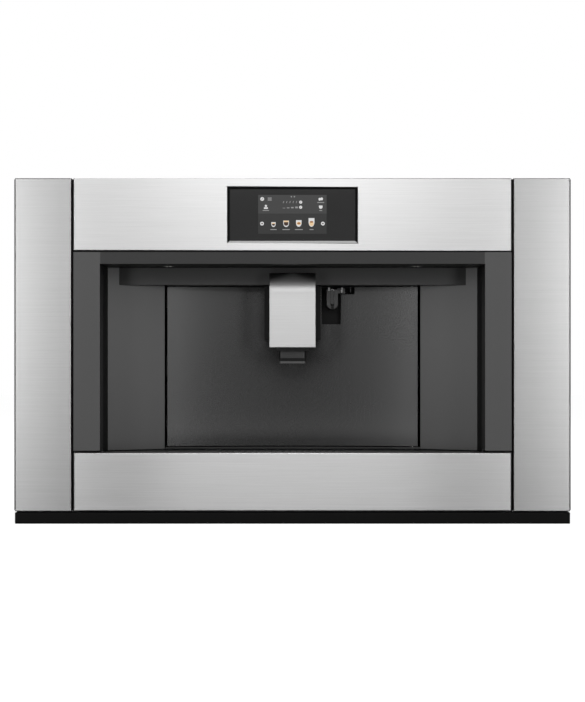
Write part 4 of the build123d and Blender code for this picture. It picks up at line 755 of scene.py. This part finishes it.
def oval(across, down, radius, squash=1.0, sides=28):
    """A round outline, anticlockwise seen from the front."""
    return [(across + radius * cos(2 * pi * step / sides),
             down - radius * squash * sin(2 * pi * step / sides)) for step in range(sides)]


def bar(across, down, width, height, slant=0.0):
    """An upright or slanted rectangle around a point."""
    half, rise = width / 2, height / 2
    return [(across - half - slant, down + rise), (across + half - slant, down + rise),
            (across + half + slant, down - rise), (across - half + slant, down - rise)]


def cup(across, top, bottom, width, sides=12):
    """A bowl outline with straight walls above and a round foot."""
    half = width / 2
    foot = (bottom - top) * 0.55
    turns = [pi * (step / sides - 0.5) for step in range(sides + 1)]
    outline = [(across + half * sin(turn), bottom - foot + foot * cos(turn)) for turn in turns]
    return outline + [(across + half, top), (across - half, top)]


def add_display_part(name, finish, layer, outlines):
    """Flat shapes laid on the glass, one film thicker for each layer."""
    work = bmesh.new()
    for outline in outlines:
        points = [place_on_glass(*point) for point in outline]
        fronts = [work.verts.new((x, glass_y - layer * film, z)) for x, z in points]
        backs = [work.verts.new((x, glass_y, z)) for x, z in points]
        work.faces.new(fronts)
        for one in range(len(points)):
            two = (one + 1) % len(points)
            work.faces.new((fronts[one], backs[one], backs[two], fronts[two]))
    mesh = bpy.data.meshes.new(name)
    work.to_mesh(mesh)
    work.free()
    add_piece(name, mesh, finish, "machine")


row_middle = 782.5
row_width = 795
add_display_part("display_upper_row", lit_finish("lit_upper", grey(0.036), grey(0.043)), 1,
                 [bar(row_middle, 235, row_width, height=216)])
add_display_part("display_lower_row", lit_finish("lit_lower", grey(0.018), grey(0.022)), 1,
                 [bar(row_middle, 460.5, row_width, height=235)])

espresso_x, coffee_x, cappuccino_x, latte_x = 563, 710, 857, 1005
symbol = (432, 174)
settings = [(879, 211), (879, 270)]
arrows = [(430, 460), (1137, 460)]
bean = [(1100, 177), (1124, 173)]
light_shapes = [oval(*symbol, 22), *[oval(*place, 18) for place in settings],
                *[oval(*place, 22) for place in arrows],
                oval(475, 254, 13), bar(475, 280, 46, 18), cup(1112, 250, 288, 42)]
light_shapes += [oval(*place, 14, squash=1.2) for place in bean]
light_shapes += [cup(espresso_x, 443, 499, 50), cup(coffee_x, 425, 499, 66),
                 cup(cappuccino_x, 420, 497, 64), cup(latte_x, 396, 497, 68)]
add_display_part("display_light_shapes", lit_finish("lit_light", grey(0.62), grey(0.74)), 2,
                 light_shapes)

menu_lines = [bar(519, 160 + 10 * step, 45, 6) for step in range(4)]
page_dots = [oval(across, 147, 8) for across in (771, 806)]
strength_bars = [bar(680 + 37.5 * step, 210, 7, 24, slant=4) for step in range(5)]
size_bars = [bar(685 + 48.5 * step, 282 - height / 2, 30, height)
             for step, height in enumerate((5, 10, 15, 20))]
underlines = [bar(across, down, width, height=9) for across, down, width in (
    (475, 307, 74), (1112, 215, 80), (1112, 308, 34), (espresso_x, 529, 72),
    (coffee_x, 529, 85), (cappuccino_x, 529, 90), (latte_x, 529, 45))]
add_display_part("display_soft_shapes", lit_finish("lit_soft", grey(0.24), grey(0.30)), 2,
                 menu_lines + page_dots + strength_bars + size_bars + underlines)

cream = lit_finish("lit_cream", (0.72, 0.50, 0.28, 1), (0.80, 0.58, 0.34, 1))
add_display_part("display_cream", cream, 3,
                 [bar(coffee_x, 435, 56, 18), bar(espresso_x, 458, 38, 12),
                  cup(latte_x, 446, 488, 50), oval(cappuccino_x, 458, 26, squash=0.75)])
coffee = lit_finish("lit_coffee", (0.035, 0.016, 0.010, 1), (0.06, 0.026, 0.015, 1))
add_display_part("display_coffee", coffee, 4,
                 [cup(coffee_x, 443, 485, 52), cup(espresso_x, 463, 486, 34),
                  bar(*symbol, 5, 26, slant=8), *[oval(*place, 9) for place in arrows],
                  *[bar(*place, 4, 18, slant=5) for place in settings]])
milk_coffee = lit_finish("lit_milk_coffee", (0.30, 0.12, 0.04, 1), (0.36, 0.16, 0.06, 1))
add_display_part("display_milk_coffee", milk_coffee, 4,
                 [oval(cappuccino_x, 457, 19, squash=0.6), oval(latte_x, 440, 21, squash=0.5)])

# ------------ service door
# The hollow grey front of the door, moulded with a niche for the nozzle whose walls are painted
# black as shade, over a black moulded frame whose rails stiffen it and hold the hinge pins.
panel_grey = satin_plastic_finish("panel_grey", level=0.0062, rough=0.28, specular=0.74,
                                  spread=0.04, bump_strength=0.005)
niche_left = 0.0415
niche_right = 0.0915
niche_low = 0.2742


def door_colour_and_niche_shade(middle, normal):
    """The walls of the niche are painted black as shade, and the hollow face is grey."""
    in_niche = niche_left < middle.x < niche_right and middle.z > niche_low
    return 1 if in_niche and abs(normal.y) < 0.5 else 0


# The niche walls of the grey moulding are painted black as shade.
repaint(eased("door_panel", panel_grey, edge=0.0005, steps=3), [deep_black_and_painted_shade], door_colour_and_niche_shade)
eased("door_frame", black_plastic, edge=0.0004)

# ------------ hinge pins and catch plate
# Two bright steel pins with fine turning rings, pressed into the door's right edge, and the
# steel plate at its left that the magnet holds.
pin_steel = mottled_finish("pin_steel", {"Metallic": 1.0}, scale=(60, 60, 2600),
                           dark=grey(0.5), light=grey(0.7), rough=(0.16, 0.3))
eased("hinge_pins", pin_steel, edge=0.0003)
eased("catch_plate", rail_steel, edge=0.0003)

# ------------ spout
# A bent steel cover over a black moulding that slides in a guide on the door. The two coffee
# outlets open in the small block under it.
block_grey = satin_plastic_finish("block_grey", level=0.015, rough=0.4, specular=0.4)
lip_grey = satin_plastic_finish("lip_grey", level=0.06, rough=0.35, specular=0.5)
cover_steel = brushed_steel_finish("cover_steel", low=0.5, high=0.58, rough_low=0.36,
                                   rough_high=0.44)
eased("spout_guide", deep_black_and_painted_shade, edge=0.0006)
eased("spout_cover", cover_steel, edge=0.0008, steps=3)
spout_low = 0.2187
block_face = front_y + 0.068
face_slack = 0.001
block_thickness = 0.004
lip_top = spout_low + 0.0028
block_top = spout_low + 0.0173
tab_top = block_top + 0.005
tab_half = 0.0195


def spout_colour(middle, normal):
    """The outlet block and the middle of the tab over it are grey, with a lighter lip below."""
    if middle.y > block_face + block_thickness and middle.z < block_top:
        return 0
    if middle.z < lip_top and normal.y < -0.5:
        return 2
    if middle.z < block_top:
        return 1 if middle.y < block_face + face_slack else 0
    return 1 if middle.z < tab_top and abs(middle.x) < tab_half else 0


repaint(eased("spout_body", deep_black_and_painted_shade, edge=0.0004), [block_grey, lip_grey], spout_colour,
        [((-tab_half, 0, 0), (1, 0, 0)), ((tab_half, 0, 0), (1, 0, 0)),
         ((0, 0, lip_top), (0, 0, 1)), ((0, 0, block_top), (0, 0, 1))])


# ------------ connection nozzle
# The steam and water nozzle in the niche of the door: a grey moulding with a notch down its
# front, on a black housing that is fixed to the chassis.
def carved(node, material, x_range, depth_range, z_range):
    """A copy of a node with a block-shaped notch cut out of it."""
    piece = eased(node, material, edge=0.0005, steps=3)
    cutter = bpy.data.objects.new(node + "_cutter",
                                  block_mesh(node + "_cutter", x_range, depth_range, z_range))
    cut = bpy.data.objects.new(node + "_cut", merged_copy(node))
    for helper in (cutter, cut):
        bpy.context.scene.collection.objects.link(helper)
    carving = cut.modifiers.new("notch", "BOOLEAN")
    carving.operation = "DIFFERENCE"
    carving.solver = "EXACT"
    carving.object = cutter
    graph = bpy.context.evaluated_depsgraph_get()
    piece.data = bpy.data.meshes.new_from_object(cut.evaluated_get(graph))
    paint(piece.data, material)
    bpy.data.objects.remove(cut)
    bpy.data.objects.remove(cutter)


nozzle_grey = satin_plastic_finish("nozzle_grey", level=0.034, rough=0.32, specular=0.6)
eased("nozzle_housing", deep_black_and_painted_shade, edge=0.0003)
nozzle_middle = 0.0575
nozzle_face = 0.146
notch_half = 0.0026
carved("connection_nozzle", nozzle_grey,
       x_range=(nozzle_middle - notch_half, nozzle_middle + notch_half),
       depth_range=(nozzle_face - 0.001, nozzle_face + 0.007), z_range=(0.29, 0.3038))


# ------------ nozzle clips and ribs
# Two bent steel clips and a wire arch that lock the nozzle, a moulded stop pin beside it, and
# two moulded guide ribs down its front.
def add_block(name, material, edge, x_range, depth_range, z_range):
    """A small block on the nozzle, its depths counted from the nozzle's face."""
    depths = [nozzle_face + depth for depth in depth_range]
    add_piece(name, block_mesh(name, x_range, depths, z_range), material,
              body_of["connection_nozzle"], edge)


clip_top = 0.3282
add_block("nozzle_clip_left", cover_steel, edge=0.0004,
          x_range=(0.0513, 0.0542), depth_range=(-0.0008, 0.004), z_range=(0.3228, clip_top))
add_block("nozzle_clip_right", cover_steel, edge=0.0004,
          x_range=(0.0703, 0.0728), depth_range=(0.0068, 0.0092), z_range=(0.3204, clip_top))
add_block("nozzle_stop_pin", nozzle_grey, edge=0.0003,
          x_range=(0.0835, 0.0850), depth_range=(0.010, 0.0284), z_range=(0.3214, clip_top))


def nozzle_ribs(start, given):
    """Upright half-round ribs, one on each place, with ball ends."""
    rib = round_ended_rod(start, given["Rib radius"], given["Length"], sides=16, rings=10)
    return stand_on_places(start, given, rib)


def wire_arch(start, given):
    """A half ring of round wire that stands on each place."""
    arch = start.node("GeometryNodeCurveArc", {},
                      {"Resolution": 20, "Radius": given["Arch radius"], "Start Angle": 0.0,
                       "Sweep Angle": pi})
    wire = start.node("GeometryNodeCurvePrimitiveCircle", {},
                      {"Resolution": 12, "Radius": given["Wire radius"]})
    bent = start.node("GeometryNodeCurveToMesh", {},
                      {"Curve": arch, "Profile Curve": wire, "Fill Caps": True})
    return stand_on_places(start, given, bent)


rib_height = 0.3128
rib_offset = 0.0023
arch_height = 0.3228
add_grown("nozzle_ribs", nozzle_grey, body_of["connection_nozzle"],
          [(nozzle_middle + way * rib_offset, front_y + nozzle_face, rib_height)
           for way in (-1, 1)],
          {"Rib radius": 0.0005, "Length": 0.0165, "Facing": Euler((0, 0, 0))}, nozzle_ribs)
add_grown("nozzle_arch", cover_steel, body_of["connection_nozzle"],
          [(nozzle_middle, front_y + nozzle_face, arch_height)],
          {"Arch radius": 0.0022, "Wire radius": 0.0006, "Facing": Euler((pi / 2, 0, 0))},
          wire_arch)

# ------------ drip drawer
# The lower steel front with the moulded drip tray behind it and the bin for coffee grounds.
# They slide out together.
folded("drawer_fascia", steel, bend=0.0022)
eased("drip_tray", black_plastic, edge=0.0006)
eased("grounds_container", black_plastic, edge=0.0006)

# ------------ cup grille and float
# A coated steel grille that lies over the bowl of the drip tray, with a hole for the red
# moulded float, which rises when the bowl is full.
coated_wire = satin_plastic_finish("coated_wire", level=0.014, rough=0.4, specular=0.4)
float_red = mottled_finish("float_red", {"Specular IOR Level": 0.5}, scale=300,
                           dark=(0.38, 0.01, 0.01, 1), light=(0.55, 0.02, 0.015, 1),
                           rough=(0.28, 0.36))
eased("cup_grille", coated_wire, edge=0.0005)
eased("tray_float", float_red, edge=0.0004)

# ------------ brewing bay and carriage
# A moulded bay behind the door with a fixed piston under its roof. The grey carriage rises in
# it, and its chamber closes on the piston.
carriage_grey = satin_plastic_finish("carriage_grey", level=0.16, rough=0.4, specular=0.5)
eased("brew_bay", black_plastic, edge=0.0005)
eased("brew_carriage", carriage_grey, edge=0.0005)


# ------------ brew screw
# A turned steel screw with a gear on its foot, which lifts the carriage. Its core is cut
# narrower here, so that the four thread starts stand out to its full size.
def thread_starts(start, given):
    """Thread ridges wound round the screw, one start on each place, evenly turned."""
    ridge = start.node("GeometryNodeCurveSpiral", {},
                       {"Resolution": 20, "Rotations": given["Turns"],
                        "Start Radius": given["Ridge centre"], "End Radius": given["Ridge centre"],
                        "Height": given["Length"]})
    wire = start.node("GeometryNodeCurvePrimitiveCircle", {},
                      {"Resolution": 8, "Radius": given["Ridge radius"]})
    wound = start.node("GeometryNodeCurveToMesh", {},
                       {"Curve": ridge, "Profile Curve": wire, "Fill Caps": True})
    turn = start.node("GeometryNodeInputIndex") * given["Turn per start"]
    return start.node("GeometryNodeInstanceOnPoints", {},
                      {"Points": given["Geometry"], "Instance": wound,
                       "Rotation": vector(start, 0.0, 0.0, turn)})


screw_middle = (-0.05, front_y + 0.3)
screw_outer = 0.004
screw_core = 0.0034
rim_slack = 0.0002
gear_top = 0.1235
screw_end = 0.3045
starts = 4
lead = 0.008
screw = eased("brew_screw", pin_steel, edge=0.0003)
for vert in screw.data.vertices:
    arm = Vector((vert.co.x - screw_middle[0], vert.co.y - screw_middle[1]))
    if vert.co.z > gear_top and abs(arm.length - screw_outer) < rim_slack:
        vert.co.x = screw_middle[0] + arm.x * screw_core / screw_outer
        vert.co.y = screw_middle[1] + arm.y * screw_core / screw_outer
thread_length = screw_end - gear_top
add_grown("brew_screw_thread", pin_steel, body_of["brew_screw"],
          [(*screw_middle, gear_top)] * starts,
          {"Turns": thread_length / lead, "Ridge centre": 0.00345, "Ridge radius": 0.0005,
           "Length": thread_length, "Turn per start": 2 * pi / starts}, thread_starts)

# ------------ grinder
# A black motor bolted to the bulkhead by its ears, with the steel burr turning above it in a
# housing of grainy die-cast alloy.
cast_alloy = mottled_finish("cast_alloy", {"Metallic": 0.85}, scale=500, detail=4.0,
                            dark=grey(0.4), light=grey(0.52), rough=(0.42, 0.58),
                            bump_strength=0.2, bump_distance=0.0003)
eased("grinder_motor", black_strip, edge=0.0005)
eased("burr_housing", cast_alloy, edge=0.0005)
eased("grinding_burr", pin_steel, edge=0.0003)

# ------------ bean hopper and lids
# A hopper of clear, slightly smoked plastic that feeds the burrs and a black funnel for ground
# coffee, both moulded and hung under the top cover, and their black hinged lids.
clear_plastic = mottled_finish("clear_plastic", {"Transmission Weight": 1.0, "IOR": 1.45},
                               scale=20, dark=(0.78, 0.82, 0.84, 1), light=(0.84, 0.87, 0.88, 1),
                               rough=(0.03, 0.08))
eased("bean_hopper", clear_plastic, edge=0.0005)
eased("coffee_funnel", black_plastic, edge=0.0005)
for lid in ("bean_lid", "funnel_lid"):
    eased(lid, black_plastic, edge=0.0006, steps=3)

# ------------ grind knob
# The black knob on the top cover that sets how fine the coffee is ground, and the raised marks
# moulded round it.
eased("grind_knob", black_plastic, edge=0.0005)


def scale_ticks(start, given):
    """Raised marks set round a centre, each turned to point at it."""
    tick = start.node("GeometryNodeMeshCube", {}, {"Size": given["Tick size"]})
    moved = start.node("GeometryNodeTransform", {},
                       {"Geometry": tick, "Translation": vector(start, 0.0, given["Reach"], 0.0)})
    turn = (start.node("GeometryNodeInputIndex") - given["Middle tick"]) * given["Turn per tick"]
    return start.node("GeometryNodeInstanceOnPoints", {},
                      {"Points": given["Geometry"], "Instance": moved,
                       "Rotation": vector(start, 0.0, 0.0, turn)})


knob_middle = (-0.085, front_y + 0.3)
tick_height = 0.4513
tick_count = 9
add_grown("grind_scale", black_plastic, "machine",
          [(*knob_middle, tick_height)] * tick_count,
          {"Tick size": (0.0009, 0.004, 0.0003), "Reach": 0.0185,
           "Middle tick": (tick_count - 1) / 2, "Turn per tick": radians(15)}, scale_ticks,
          edge=0.0001)

# ------------ water tank
# A clear moulded tank that lifts out of its seat through the top cover, with raised level marks
# on its front wall and a black hinged lid.
eased("water_tank", clear_plastic, edge=0.0006)


def level_marks(start, given):
    """Raised level marks, every second one longer."""
    step = start.node("GeometryNodeInputIndex")
    wider = start.maths("MODULO", step, 2.0)
    mark = start.node("GeometryNodeMeshCube", {}, {"Size": given["Mark size"]})
    return start.node("GeometryNodeInstanceOnPoints", {},
                      {"Points": given["Geometry"], "Instance": mark,
                       "Scale": vector(start, wider * 0.8 + 1.0, 1.0, 1.0)})


mark_x = 0.14
mark_depth = 0.196
lowest_mark = 0.18
mark_pitch = 0.025
add_grown("tank_level_marks", clear_plastic, body_of["water_tank"],
          [(mark_x, front_y + mark_depth, lowest_mark + mark_pitch * step) for step in range(9)],
          {"Mark size": (0.014, 0.0006, 0.0012)}, level_marks, edge=0.0001)
eased("tank_lid", black_plastic, edge=0.0006, steps=3)
eased("tank_seat", black_plastic, edge=0.0005)

# ------------ pump, boiler and hoses
# The pump on its feet and the finned heater, both in cast alloy and behind the bulkhead, and
# the milky silicone hoses between them and the tank.
eased("pump", cast_alloy, edge=0.0006)
eased("boiler", cast_alloy, edge=0.0006)
hose_silicone = mottled_finish(
    "hose_silicone", {"Subsurface Weight": 0.2, "Subsurface Radius": (0.004, 0.004, 0.004)},
    scale=120, dark=grey(0.55, 0.02), light=grey(0.68, 0.02), rough=(0.4, 0.5))
eased("water_hoses", hose_silicone, edge=0.0004)

# ------------ main board
# A green lacquered board of woven glass on four posts behind the bulkhead, with its black
# moulded components soldered to the back.
circuit_board = mottled_finish("circuit_board", {"Specular IOR Level": 0.5}, scale=900,
                               dark=(0.008, 0.075, 0.03, 1), light=(0.014, 0.11, 0.045, 1),
                               rough=(0.3, 0.42))
component_plane = front_y + 0.3388
repaint(eased("main_board", circuit_board, edge=0.0004), [black_plastic],
        lambda middle, normal: 1 if middle.y > component_plane else 0)

# ------------ mains inlet and switch
# The black moulded inlet for the mains lead, flanged in its opening in the rear panel, and the
# rocker of the main switch, which turns in two cheeks behind that panel.
eased("power_inlet", black_plastic, edge=0.0004)
eased("main_switch", black_plastic, edge=0.0005, steps=3)
